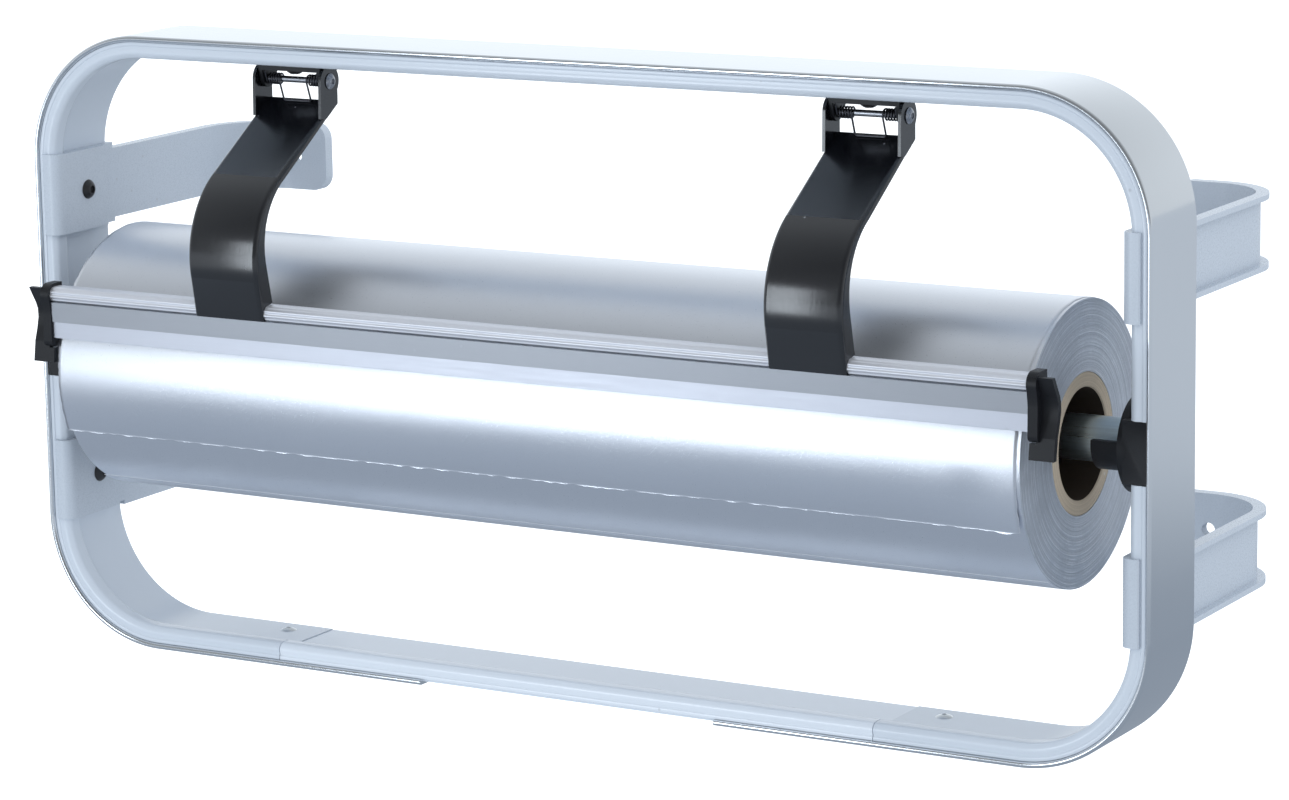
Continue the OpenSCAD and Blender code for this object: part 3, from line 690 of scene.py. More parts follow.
def refined(node: str, body: Body, slot: str, width: float, segments: int = 2,
            sharp: float = 32.0) -> bpy.types.Object:
    """Makes a smooth piece with rounded edges from a solid's own shape.

    Args:
        node: The solid.
        body: What it rides on.
        slot: Its material slot, which is also its finish.
        width: Width of its rounded edges.
        segments: Steps across them.
        sharp: Edges sharper than this, in degrees, are rounded.

    Returns:
        The piece.
    """
    bm = bmesh.new()
    bm.from_mesh(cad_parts[node].data)
    bmesh.ops.remove_doubles(bm, verts=bm.verts, dist=WELD)
    bmesh.ops.dissolve_limit(bm, angle_limit=FLAT, verts=bm.verts, edges=bm.edges,
                             use_dissolve_boundaries=False)
    piece = new_object(f"finished_{node}", bm, [slot], sharp)
    soften(piece, width, segments, sharp)
    return settle(piece, body, slot, node)


def arc(centre: Point, radius: float, start: float, end: float, steps: int) -> list[Point]:
    """Points along an arc.

    Args:
        centre: Its centre.
        radius: Its radius.
        start: First angle in degrees.
        end: Last angle in degrees.
        steps: Number of chords.

    Returns:
        The points.
    """
    angles = [math.radians(start + (end - start) * i / steps) for i in range(steps + 1)]
    return [(centre[0] + radius * math.cos(a), centre[1] + radius * math.sin(a)) for a in angles]


class Sweep:
    """Carries a closed section along straight runs and round corners."""

    def __init__(self, bm: BMesh, points: Iterable[Sequence[float]]) -> None:
        """Starts at a ring of edges through the points.

        Args:
            bm: Where it is made.
            points: The closed section.
        """
        self.bm = bm
        ring = [bm.verts.new(point) for point in points]
        self.tip = [bm.edges.new(pair) for pair in zip(ring, ring[1:] + ring[:1])]
        self.start = list(self.tip)

    def run(self, step: Sequence[float], parts: int) -> None:
        """Extrudes the section along a vector.

        Args:
            step: How far and which way.
            parts: Number of equal parts.
        """
        for _ in range(parts):
            made = bmesh.ops.extrude_edge_only(self.bm, edges=self.tip)["geom"]
            moved = {item for item in made if isinstance(item, BMVert)}
            bmesh.ops.translate(self.bm, verts=list(moved), vec=Vector(step) / parts)
            self.tip = [item for item in made if isinstance(item, BMEdge)
                        and all(vert in moved for vert in item.verts)]

    def turn(self, centre: Sequence[float], axis: Sequence[float], angle: float,
             steps: int) -> None:
        """Spins the section round an axis.

        Args:
            centre: A point on the axis.
            axis: The axis.
            angle: How far, in radians.
            steps: Number of chords.
        """
        made = bmesh.ops.spin(self.bm, geom=self.tip, cent=centre, axis=axis, angle=angle,
                              steps=steps, use_merge=False, use_duplicate=False)["geom_last"]
        self.tip = [item for item in made if isinstance(item, BMEdge)]

    def close(self) -> None:
        """Caps both ends and turns all faces outwards."""
        for ring in (self.start, self.tip):
            bmesh.ops.edgeloop_fill(self.bm, edges=ring)
        bmesh.ops.recalc_face_normals(self.bm, faces=self.bm.faces)


def turned(bm: BMesh, outline: Iterable[Point], centre: Sequence[float],
           axis: Sequence[float], steps: int) -> None:
    """Spins an outline all the way round an axis and closes it.

    Args:
        bm: Where it is made.
        outline: Closed outline of places along the axis and distances from it.
        centre: A point on the axis.
        axis: The axis, along X or Z.
        steps: Segments of the full turn.
    """
    along = Vector(axis)
    across = Vector((0, 0, 1)) if abs(along.x) > 0.5 else Vector((1, 0, 0))
    ring = [bm.verts.new(Vector(centre) + along * a + across * r) for a, r in outline]
    edges = [bm.edges.new(pair) for pair in zip(ring, ring[1:] + ring[:1])]
    bmesh.ops.spin(bm, geom=ring + edges, cent=centre, axis=axis, angle=TURN, steps=steps,
                   use_merge=True, use_duplicate=False)
    bmesh.ops.remove_doubles(bm, verts=bm.verts, dist=AXIS_WELD)
    bmesh.ops.recalc_face_normals(bm, faces=bm.faces)


def tube_outline(end: float, inner: float, outer: float, chamfer: float) -> list[Point]:
    """Closed outline of a plain tube with chamfered ends.

    Args:
        end: Half of its length.
        inner: Radius of its bore.
        outer: Its outer radius.
        chamfer: Width of the chamfers.

    Returns:
        Places along the axis and distances from it.
    """
    return [(-end, inner + chamfer), (-end, outer - chamfer), (chamfer - end, outer),
            (end - chamfer, outer), (end, outer - chamfer), (end, inner + chamfer),
            (end - chamfer, inner), (chamfer - end, inner)]


def carve(piece: bpy.types.Object, low: Sequence[float], high: Sequence[float]) -> None:
    """Cuts a box out of a piece's mesh.

    Args:
        piece: The piece, not yet on a body.
        low: The box's lowest corner.
        high: Its highest corner.
    """
    bm = bmesh.new()
    size = Vector(high) - Vector(low)
    place = Matrix.Translation((Vector(high) + Vector(low)) / 2) @ Matrix.Diagonal((*size, 1))
    bmesh.ops.create_cube(bm, size=1, matrix=place)
    mesh = mesh_from("notch", bm)
    tool = placed("notch", mesh)
    cut = piece.modifiers.new("notch", "BOOLEAN")
    cut.operation = "DIFFERENCE"
    cut.solver = "EXACT"
    cut.object = tool
    seen = piece.evaluated_get(bpy.context.evaluated_depsgraph_get())
    carved = bpy.data.meshes.new_from_object(seen)
    piece.modifiers.remove(cut)
    bpy.data.objects.remove(tool)
    bpy.data.meshes.remove(mesh)
    piece.data = carved


@dataclass
class Studio:
    """Camera, pale floor, surroundings and lamp.

    A band is a stretch between two values of a direction or place, over which a light changes.
    """

    # Camera, with its lens and sensor in millimetres and its turns in radians
    camera_place: Place = (1.03964, -1.86571, 0.39648)
    lens: float = 125.35
    sensor: float = 36.0
    sight: float = 100.0
    yaw: float = 0.529207
    pitch: float = 0.198552
    roll: float = -0.0176474
    # Softbox
    soft_place: Place = (-0.93, -1.905, 0.07)
    soft_size: Point = (0.44, 0.9)
    soft_watts: float = 5.7
    soft_colour: Colour = (0.84, 0.92, 1.0)
    # Daylight from all round: its strength, and how much more comes from one side
    daylight: float = 0.94
    from_right: float = 0.36
    from_top: float = 0.28
    mild: Colour = (0.95, 0.975, 1.0)
    # The room as the eye and metal see it
    white: Colour = (1.0, 1.0, 1.0)
    cool: Colour = (0.88, 0.94, 1.0)
    mirror_right: float = 0.65
    mirror_front: float = 0.36
    mirror_back: float = 1.12
    mirror_top: float = 0.54
    right_band: Point = (-0.3, 0.5)
    depth_band: Point = (-0.7, 0.0)
    height_band: Point = (0.12, 0.85)
    # Floor, which glows to the eye, and in metal past some distance
    floor_z: float = -0.9
    floor_reach: float = 40.0
    floor_seen: Colour = (0.8, 0.82, 0.84)
    floor_mirrored: Colour = (0.27, 0.305, 0.355)
    floor_glow: Colour = (0.95, 0.98, 1.0)
    glow_seen: float = 0.55
    glow_far_band: Point = (3.3, 4.3)
    glow_side_band: Point = (-0.5, 1.5)
    glow_sides: Point = (0.4, 0.25)

    def camera(self) -> None:
        """Sets the camera where the photograph was taken from."""
        data = bpy.data.cameras.new("camera")
        data.lens = self.lens
        data.sensor_width = self.sensor
        data.sensor_fit = "HORIZONTAL"
        data.clip_end = self.sight
        camera = placed("camera", data)
        camera.matrix_world = (Matrix.Translation(self.camera_place)
                               @ Matrix.Rotation(self.yaw, 4, "Z")
                               @ Matrix.Rotation(math.pi / 2 - self.pitch, 4, "X")
                               @ Matrix.Rotation(self.roll, 4, "Z"))
        bpy.context.scene.camera = camera

    def backdrop(self, graph: Graph, colour: Colour, strength: object) -> Socket:
        """Adds a background of one colour.

        Args:
            graph: The world's tree.
            colour: Its colour.
            strength: How bright it is: a number or a socket.

        Returns:
            The background's socket.
        """
        node = graph.add("ShaderNodeBackground")
        graph.feed(node.inputs["Color"], (*colour, 1.0))
        graph.feed(node.inputs["Strength"], strength)
        return node.outputs[0]

    def world(self) -> None:
        """Lights the scene from all round, and shows a pale room to the eye and in metal."""
        world = bpy.data.worlds.new("room")
        bpy.context.scene.world = world
        graph = cleared(world)
        ray = graph.add("ShaderNodeLightPath").outputs
        way = graph.add("ShaderNodeSeparateXYZ")
        graph.feed(way.inputs[0], graph.add("ShaderNodeTexCoord").outputs["Generated"])
        right, back, up = way.outputs
        high = graph.rescale(graph.sum_up("ABSOLUTE", up), *self.height_band, 1.0,
                             self.mirror_top, smooth=True)
        sided = graph.rescale(right, *self.right_band, 1.0, self.mirror_right)
        deep = graph.rescale(back, *self.depth_band, self.mirror_front, self.mirror_back)
        tilt = graph.plus(graph.times(right, self.from_right), graph.times(up, self.from_top))
        lit = self.backdrop(graph, self.mild, graph.plus(tilt, self.daylight))
        mirrored = self.backdrop(graph, self.cool, graph.times(graph.times(high, deep), sided))
        shown = self.backdrop(graph, self.white, 1.0)
        in_metal = graph.sum_up("MAXIMUM", ray["Is Glossy Ray"], ray["Is Transmission Ray"])
        room = graph.choose(in_metal, lit, mirrored)
        room = graph.choose(ray["Is Camera Ray"], room, shown)
        graph.feed(graph.add("ShaderNodeOutputWorld").inputs[0], room)

    def floor_material(self) -> bpy.types.Material:
        """Makes a floor that looks white, keeps the shadow and is greyer in metal.

        Returns:
            The material.
        """
        made = bpy.data.materials.new("pale_floor")
        graph = cleared(made)
        ray = graph.add("ShaderNodeLightPath").outputs
        place = graph.add("ShaderNodeTexCoord").outputs["Object"]
        reach = graph.add("ShaderNodeVectorMath", operation="LENGTH")
        graph.feed(reach.inputs[0], graph.place(place, (1, 1, 0)))
        far = graph.rescale(reach.outputs["Value"], *self.glow_far_band, 0.0, 1.0, smooth=True)
        across = graph.add("ShaderNodeSeparateXYZ")
        graph.feed(across.inputs[0], place)
        sided = graph.rescale(across.outputs[0], *self.glow_side_band, *self.glow_sides)
        glow = graph.times(graph.times(far, sided), ray["Is Glossy Ray"])
        for kind in ("Is Camera Ray", "Is Transmission Ray"):
            glow = graph.plus(glow, graph.times(ray[kind], self.glow_seen))
        tone = graph.mix(ray["Is Glossy Ray"], self.floor_seen, self.floor_mirrored)
        shader = graph.add("ShaderNodeBsdfPrincipled")
        graph.feed(shader.inputs["Base Color"], tone)
        graph.feed(shader.inputs["Emission Color"], (*self.floor_glow, 1.0))
        graph.feed(shader.inputs["Emission Strength"], glow)
        graph.feed(shader.inputs["Roughness"], 1.0)
        graph.feed(shader.inputs["Specular IOR Level"], 0.0)
        graph.feed(graph.add("ShaderNodeOutputMaterial").inputs[0], shader.outputs[0])
        return made

    def floor(self) -> None:
        """Lays the pale floor."""
        bm = bmesh.new()
        bmesh.ops.create_grid(bm, x_segments=1, y_segments=1, size=self.floor_reach,
                              matrix=Matrix.Translation((0, 0, self.floor_z)))
        mesh = mesh_from("floor", bm)
        mesh.materials.append(self.floor_material())
        placed("floor", mesh)

    def softbox(self) -> None:
        """Hangs a soft rectangular lamp at the front left, facing the frame."""
        data = bpy.data.lights.new("front_softbox", "AREA")
        data.shape = "RECTANGLE"
        data.size, data.size_y = self.soft_size
        data.energy = self.soft_watts
        data.color = self.soft_colour
        place, target = Vector(self.soft_place), Vector((0, FRAME_Y, 0))
        facing = (target - place).to_track_quat("-Z", "Y").to_matrix().to_4x4()
        placed("front_softbox", data).matrix_world = Matrix.Translation(place) @ facing

    def build(self) -> None:
        """Makes the whole studio."""
        self.camera()
        self.world()
        self.floor()
        self.softbox()
        bpy.context.scene.view_settings.view_transform = "Standard"


@dataclass
class FrameLoop:
    """Polished band, grey profile inside it, joiner and rivets at the bottom.

    A section's points are measured in from the outside of the frame, and towards the front from
    the middle of its depth.
    """

    corner_r: float = 62.4 * MM
    corner_steps: int = 40
    # Edges sharper than this, in degrees, stay sharp
    sharp: float = 40.0
    # Band
    band_gap: float = 157 * MM
    band_chamfer: float = 0.25 * MM
    bead_end: float = -80.0
    bead_gap: float = 0.05 * MM
    # Profile: its lip, how far that lies behind the front and reaches back, and its flat strip
    lip_h: float = 3.2 * MM
    lip_r: float = 3.6 * MM
    lip_back: float = 1.2 * MM
    lip_drop: float = 9.1 * MM
    strip: float = 1.9 * MM
    groove: float = 0.45 * MM
    # Joiner at the bottom, with the seam at each end and its step down
    joiner_len: float = 317 * MM
    seam: float = 0.4 * MM
    joiner_step: float = 0.4 * MM
    # Rivets
    rivet_from_seam: float = 18.5 * MM
    rivet_depth: float = 12 * MM
    rivet_r: float = 4 * MM
    rivet_h: float = 1.25 * MM
    dimple_r: float = 1.15 * MM
    dimple_depth: float = 0.55 * MM
    dimple_slope: float = 0.25 * MM
    rivet_sunk: float = 0.05 * MM
    # Notch in the lip for a bearing's hub, from the middle of the frame's depth
    notch_half: float = 13.85 * MM
    notch_front: float = -26.2 * MM
    notch_back: float = -12.8 * MM
    notch_depth: float = 9.15 * MM
    # Small steps of the profile's section, from the band inwards
    back_ease: float = 0.3 * MM
    shoulder_gap: float = 0.1 * MM
    strip_wall: float = 0.5 * MM
    strip_ease: float = 0.15 * MM
    strip_dip: float = 0.03 * MM
    groove_slope: float = 0.25 * MM
    groove_w: float = 0.8 * MM
    ridge_start: float = 100.0
    ridge_steps: int = 30
    swell: float = 0.1 * MM
    swell_start: float = 25.0
    swell_rate: float = 3.4
    # Steps under the lip, from its inner corner, and where it meets the flat inner face
    lip_under: tuple[Point, ...] = ((0.0, 0.5 * MM), (-0.15 * MM, -0.35 * MM),
                                    (-0.7 * MM, -0.9 * MM))
    lip_foot: tuple[Point, ...] = ((0.6 * MM, -1.3 * MM), (0.0, -1.8 * MM))
    inner_ease: float = 0.5 * MM

    def __post_init__(self) -> None:
        """Works out the lip's centre in the section."""
        self.front = FRAME_D / 2
        self.lip_v = INNER_V + self.lip_h
        self.lip_low = self.front - self.lip_drop
        self.lip_top = self.front - self.lip_back
        self.lip_c = (self.lip_v - self.lip_r, self.lip_top - self.lip_r)
        self.track = 2 * RIM_R + self.bead_gap

    def band_section(self) -> list[Point]:
        """Section of the band, with a bead at its front edge.

        Returns:
            Its points: distance in from the outside, and height towards the front.
        """
        chamfer = self.band_chamfer
        return [(0, chamfer - self.front), (0, self.front - RIM_R),
                *arc((RIM_R, self.front - RIM_R), RIM_R, 180, self.bead_end, 26)[1:],
                (BAND_T, self.front - 2 * RIM_R), (BAND_T, chamfer - self.front),
                (BAND_T - chamfer, -self.front), (chamfer, -self.front)]

    def profile_section(self, step: float = 0.0) -> list[Point]:
        """Section of the profile: narrow strip, groove, shallow valley and rounded ridge.

        Args:
            step: How much lower the flat inner face lies.

        Returns:
            The section's points.
        """
        shoulder = self.front - 2 * RIM_R - self.shoulder_gap
        top, track, bottom = self.lip_top, self.track, self.lip_top - self.groove
        groove_v = track + self.strip
        edge, ease, dip = self.back_ease, self.strip_ease, self.strip_dip
        points = [(BAND_T + edge, -self.front), (BAND_T, edge - self.front),
                  (BAND_T, shoulder), (track, shoulder), (track, top - self.strip_wall),
                  (track + ease, top - ease), (track + 3 * ease, top),
                  (groove_v - 2 * ease, top - dip), (groove_v, top - ease),
                  (groove_v + self.groove_slope, bottom), (groove_v + self.groove_w, bottom - dip)]
        for i in range(self.ridge_steps + 1):
            degrees = self.ridge_start * (1 - i / self.ridge_steps)
            angle = math.radians(degrees)
            wave = math.cos(math.radians(degrees - self.swell_start) * self.swell_rate) ** 2 - 1
            radius = self.lip_r + self.swell * wave
            points.append((self.lip_c[0] + radius * math.cos(angle),
                           self.lip_c[1] + radius * math.sin(angle)))
        flat, ease = INNER_V - step, self.inner_ease
        points += [(self.lip_v + v, self.lip_low + w) for v, w in self.lip_under]
        points += [(flat + v, self.lip_low + w) for v, w in self.lip_foot]
        return points + [(flat, ease - self.front), (flat - ease, -self.front)]

    def loop(self, name: str, section: list[Point], gap: float,
             finish: str) -> bpy.types.Object:
        """Sweeps a section round the frame, from one side of the bottom gap to the other.

        Args:
            name: The piece's name.
            section: Its section.
            gap: Width of the gap.
            finish: Its finish.

        Returns:
            The piece.
        """
        half_w, half_h, radius = FRAME_W / 2, FRAME_H / 2, self.corner_r
        bm = bmesh.new()
        sweep = Sweep(bm, [(gap / 2, FRAME_Y - w, FRAME_Z + v - half_h) for v, w in section])
        across = half_w - radius
        up = half_h - radius
        sweep.run((across - gap / 2, 0, 0), parts=4)
        sides = (((across, -up), (0, 0, 2 * up)), ((across, up), (-2 * across, 0, 0)),
                 ((-across, up), (0, 0, -2 * up)), ((-across, -up), (across - gap / 2, 0, 0)))
        for (x, z), step in sides:
            sweep.turn((x, FRAME_Y, FRAME_Z + z), (0, -1, 0), math.pi / 2, self.corner_steps)
            sweep.run(step, parts=6)
        sweep.close()
        return new_object(name, bm, [finish], self.sharp)

    def rivets(self) -> bpy.types.Object:
        """Two domed blind rivets with a dimple, on the flat of the bottom run.

        Returns:
            The rivets as one piece.
        """
        height, dimple = self.rivet_h, self.dimple_r
        dome_r = (self.rivet_r ** 2 + height ** 2) / (2 * height)
        dome = [(height - dome_r + math.sqrt(dome_r ** 2 - r ** 2), r)
                for r in [dimple + (self.rivet_r - dimple) * i / 10 for i in range(11)]]
        bottom = height - self.dimple_depth
        outline = [(bottom, 0.0), (bottom, dimple - self.dimple_slope), *dome,
                   (-self.rivet_sunk, self.rivet_r), (-self.rivet_sunk, 0.0)]
        bm = bmesh.new()
        for side in SIDES.values():
            centre = (side * (self.joiner_len / 2 + self.rivet_from_seam),
                      FRAME_Y + self.rivet_depth, FRAME_Z + INNER_V - FRAME_H / 2)
            turned(bm, outline, centre, (0, 0, 1), steps=40)
        return new_object("domed_rivets", bm, ["rivet_metal"], 35.0)

    def joiner(self) -> bpy.types.Object:
        """Straight length of profile between the seams.

        Returns:
            The piece.
        """
        bm = bmesh.new()
        half = self.joiner_len / 2
        section = self.profile_section(self.joiner_step)
        low = FRAME_Z - FRAME_H / 2
        sweep = Sweep(bm, [(-half, FRAME_Y - w, low + v) for v, w in section])
        sweep.run((2 * half, 0, 0), parts=8)
        sweep.close()
        return new_object("joiner_profile", bm, ["grey_joiner"], self.sharp)

    def profile(self) -> bpy.types.Object:
        """The profile round the frame, with a notch in each side for a bearing's hub.

        Returns:
            The piece.
        """
        made = self.loop("lipped_profile", self.profile_section(),
                         self.joiner_len + 2 * self.seam, "grey_profile")
        far = FRAME_W / 2 - self.track
        for side in SIDES.values():
            low_x, high_x = sorted((side * (far - self.notch_depth), side * far))
            carve(made, (low_x, FRAME_Y + self.notch_front, TUBE_Z - self.notch_half),
                  (high_x, FRAME_Y + self.notch_back, TUBE_Z + self.notch_half))
        made.data.set_sharp_from_angle(angle=math.radians(self.sharp))
        return made

    def build(self) -> None:
        """Makes the frame's pieces."""
        band = self.loop("polished_outer_band", self.band_section(), self.band_gap,
                         "polished_band")
        settle(band, Body.FRAME, "polished_band", "outer_band")
        settle(self.profile(), Body.FRAME, "grey_profile", "frame_profile")
        settle(self.joiner(), Body.FRAME, "grey_joiner", "bottom_joiner")
        settle(self.rivets(), Body.FRAME, "rivet_metal", "joiner_rivets")


@dataclass
class WallBrackets:
    """Four moulded brackets and the bolts through their clips."""

    edge: float = 0.8 * MM
    bolt_edge: float = 0.2 * MM

    def build(self) -> None:
        """Makes the brackets and bolts."""
        for level in ("top", "bottom"):
            for side in SIDES:
                refined(f"bracket_{level}_{side}", Body.FRAME, "grey_bracket", self.edge, 3)
        refined("bracket_bolts", Body.FRAME, "black_bolt", self.bolt_edge)


@dataclass
class Spindle:
    """The tube and the two black bearings that it lies in."""

    length: float = TUBE_LEN
    tube_r: float = TUBE_D / 2
    wall: float = 1.5 * MM
    chamfer: float = 0.35 * MM
    bearing_edge: float = 0.4 * MM

    def tube(self) -> bpy.types.Object:
        """The zinc-plated tube, open at both ends.

        Returns:
            The piece.
        """
        inner = self.tube_r - self.wall
        outline = tube_outline(self.length / 2, inner, self.tube_r, self.chamfer)
        bm = bmesh.new()
        turned(bm, outline, (0, FRAME_Y, TUBE_Z), (1, 0, 0), steps=96)
        return new_object("plated_tube", bm, ["zinc_tube"])

    def build(self) -> None:
        """Makes the tube and bearings."""
        settle(self.tube(), Body.SPINDLE, "zinc_tube", "spindle_tube")
        for side in SIDES:
            refined(f"bearing_{side}", Body.FRAME, "black_plastic", self.bearing_edge, 3)


@dataclass
class Roll:
    """The wound foil with its torn outer sheet, the cardboard core and its adapters."""

    # Core and adapters
    length: float = CORE_LEN
    core_r: float = CORE_D / 2
    core_inner: float = 24.6 * MM
    core_chamfer: float = 0.5 * MM
    adapter_edge: float = 0.3 * MM
    # Wound foil, with its segments round the roll and rings on its ends
    radius: float = 63.05 * MM
    turns: int = 224
    rings: int = 44
    # The wound foil's ends and skin; a ripple is a frequency and a height
    uneven: float = 0.28 * MM
    last_layer: float = 0.25 * MM
    skin_steps: int = 60
    skin_inset: float = 0.2 * MM
    wide_ripple: Point = (9.0, 0.05 * MM)
    fine_ripple: Point = (31.0, 0.018 * MM)
    end_ripple: Point = (40.0, 0.12 * MM)
    # The torn outer sheet, with angles in degrees round the roll. A swing of its edges is a
    # frequency and a size
    sheet_t: float = 0.12 * MM
    sheet_ends: Point = (-251.6 * MM, 248.2 * MM)
    sheet_columns: int = 320
    sheet_rows: int = 150
    sheet_turn: float = 330.0
    sheet_top: float = 300.0
    sheet_crowding: float = 1.5
    sheet_lift: float = 0.16 * MM
    sheet_sink: float = 0.2 * MM
    sink_turn: float = 320.0
    tear_angle: float = 26.0
    fine_tear: Point = (900.0, 0.35)
    wide_tear: Point = (160.0, 0.5)
    curl: float = 0.3 * MM
    curl_angle: float = 0.8
    curl_limit: float = 1.2
    # How far the loose sheet leaves the roll towards the torn edge, and the dent in its corner
    hang: float = 0.06
    hang_swing: Point = (14.0, 0.12)
    corner_hang: float = 0.3
    corner_x: float = 175 * MM
    corner_w: float = 70 * MM
    dent: float = 0.5 * MM
    dent_x: float = 226 * MM
    dent_w: float = 9 * MM
    dent_turn: float = 12.0
    end_wander: float = 0.5 * MM

    def winding_outline(self) -> list[Point]:
        """Closed outline of the wound foil: ends with slightly uneven rings.

        Returns:
            Places along the axis and distances from it.
        """
        half = self.length / 2
        radii = [self.core_r + (self.radius - self.last_layer - self.core_r) * i / self.rings
                 for i in range(self.rings + 1)]
        right = [(half - self.uneven * abs(noise.noise((i * 0.83, 4.1, 0.0))), r)
                 for i, r in enumerate(radii)]
        left = [(-half + self.uneven * abs(noise.noise((i * 0.77, 9.6, 2.0))), r)
                for i, r in enumerate(radii)]
        skin = [((1 - 2 * i / self.skin_steps) * (half - self.skin_inset), self.radius)
                for i in range(self.skin_steps + 1)]
        return right + skin + left[::-1]

    def windings(self) -> bpy.types.Object:
        """The wound foil, with fine ripples on its skin and uneven layers at its ends.

        Returns:
            The piece.
        """
        bm = bmesh.new()
        centre = Vector((0, FRAME_Y, ROLL_Z))
        turned(bm, self.winding_outline(), centre, (1, 0, 0), steps=self.turns)
        for vert in bm.verts:
            arm = (vert.co - centre) * Vector((0, 1, 1))
            if arm.length > self.radius - self.last_layer / 2:
                ripple = sum(noise.noise(vert.co * frequency) * height
                             for frequency, height in (self.wide_ripple, self.fine_ripple))
                vert.co += arm.normalized() * ripple
            elif arm.length > self.core_r + MM:
                frequency, height = self.end_ripple
                crumple = height * (noise.noise(vert.co * frequency) - 0.5)
                vert.co.x += math.copysign(1.0, vert.co.x) * crumple
        for face in bm.faces:
            face.material_index = 1 if abs(face.normal.x) > 0.5 else 0
        return new_object("wound_foil", bm, ["foil", "foil_windings"], 60.0)

    def sheet_place(self, x: float, angle: float) -> Vector:
        """A point of the torn outer sheet.

        Args:
            x: Place along the roll.
            angle: Angle up from the front, in degrees; the torn edge is at the lowest.

        Returns:
            The point, hanging a little off the roll near the torn edge.
        """
        turn = math.radians(angle)
        past_tear = angle + self.tear_angle
        curled = min(max(1 - past_tear / self.curl_angle, 0.0), self.curl_limit)
        spare = self.radius + self.sheet_lift - self.sheet_sink * past_tear / self.sink_turn
        spare += self.curl * curled ** 2
        y, z = -spare * math.cos(turn), spare * math.sin(turn)
        if angle < 0:
            corner = min(max((x - self.corner_x) / self.corner_w, 0.0), 1.0)
            share = self.hang + (self.corner_hang - self.hang) * corner ** 2
            frequency, size = self.hang_swing
            share += size * noise.noise((x * frequency, 3.3, 0.0))
            across = math.exp(-((x - self.dent_x) / self.dent_w) ** 2)
            dent = self.dent * across * min(-angle / self.dent_turn, 1.0)
            straight = Vector((-spare, spare * turn))
            flat = Vector((y, z)).lerp(straight, share)
            y, z = flat.x + dent, flat.y
        return Vector((x, FRAME_Y + y, ROLL_Z + z))

    def torn_sheet(self) -> bpy.types.Object:
        """The last turn of foil, which ends in a torn edge at the front.

        Returns:
            The piece.
        """
        left, right = self.sheet_ends
        columns, low_z = self.sheet_columns, ROLL_Z - self.radius
        bm = bmesh.new()
        line = [bm.verts.new((left + (right - left) * i / columns, FRAME_Y, low_z))
                for i in range(columns + 1)]
        edges = [bm.edges.new(pair) for pair in zip(line, line[1:])]
        bmesh.ops.spin(bm, geom=edges, cent=(0, FRAME_Y, ROLL_Z), axis=(1, 0, 0),
                       angle=math.radians(-self.sheet_turn), steps=self.sheet_rows,
                       use_merge=False, use_duplicate=False)
        for vert in bm.verts:
            arm = vert.co - Vector((vert.co.x, FRAME_Y, ROLL_Z))
            wrapped = math.degrees(math.atan2(arm.z, -arm.y)) + 90.0
            share = (wrapped % 360.0) / self.sheet_turn
            x = vert.co.x
            fine = self.fine_tear[1] * noise.noise((x * self.fine_tear[0], 0, 0))
            wide = self.wide_tear[1] * noise.noise((x * self.wide_tear[0], 5.0, 0))
            low = -self.tear_angle + fine + wide
            angle = low + (self.sheet_top - low) * share ** self.sheet_crowding
            inset = self.end_wander * noise.noise((angle * 0.6, x * 0.1, 1.7))
            at_end = min(x - left, right - x) < MM
            vert.co = self.sheet_place(x + (inset if at_end else 0.0), angle)
        bmesh.ops.recalc_face_normals(bm, faces=bm.faces)
        # The sheet's rim takes the pale finish, a painted highlight along the torn edge
        piece = new_object("torn_outer_sheet", bm, ["foil", "foil_edge_painted_highlight"], 60.0)
        wall = piece.modifiers.new("sheet", "SOLIDIFY")
        wall.thickness = self.sheet_t
        wall.material_offset_rim = 1
        wall.offset = 1.0
        return piece

    def core(self) -> bpy.types.Object:
        """The cardboard core, with chamfered ends that show its layers.

        Returns:
            The piece.
        """
        outline = tube_outline(self.length / 2, self.core_inner, self.core_r, self.core_chamfer)
        bm = bmesh.new()
        turned(bm, outline, (0, FRAME_Y, ROLL_Z), (1, 0, 0), steps=160)
        # Bore and outside take the dark cardboard finish, which is painted shade; the chamfered
        # ends take the pale one
        for face in bm.faces:
            face.material_index = 1 if abs(face.normal.x) > 0.3 else 0
        return new_object("wound_core", bm, ["cardboard", "cardboard_end"], 40.0)

    def build(self) -> None:
        """Makes the roll's pieces."""
        settle(self.windings(), Body.ROLL, "foil", "foil_roll")
        settle(self.torn_sheet(), Body.ROLL, "foil")
        settle(self.core(), Body.ROLL, "cardboard", "cardboard_core")
        for side in SIDES:
            refined(f"core_adapter_{side}", Body.ROLL, "black_plastic", self.adapter_edge)


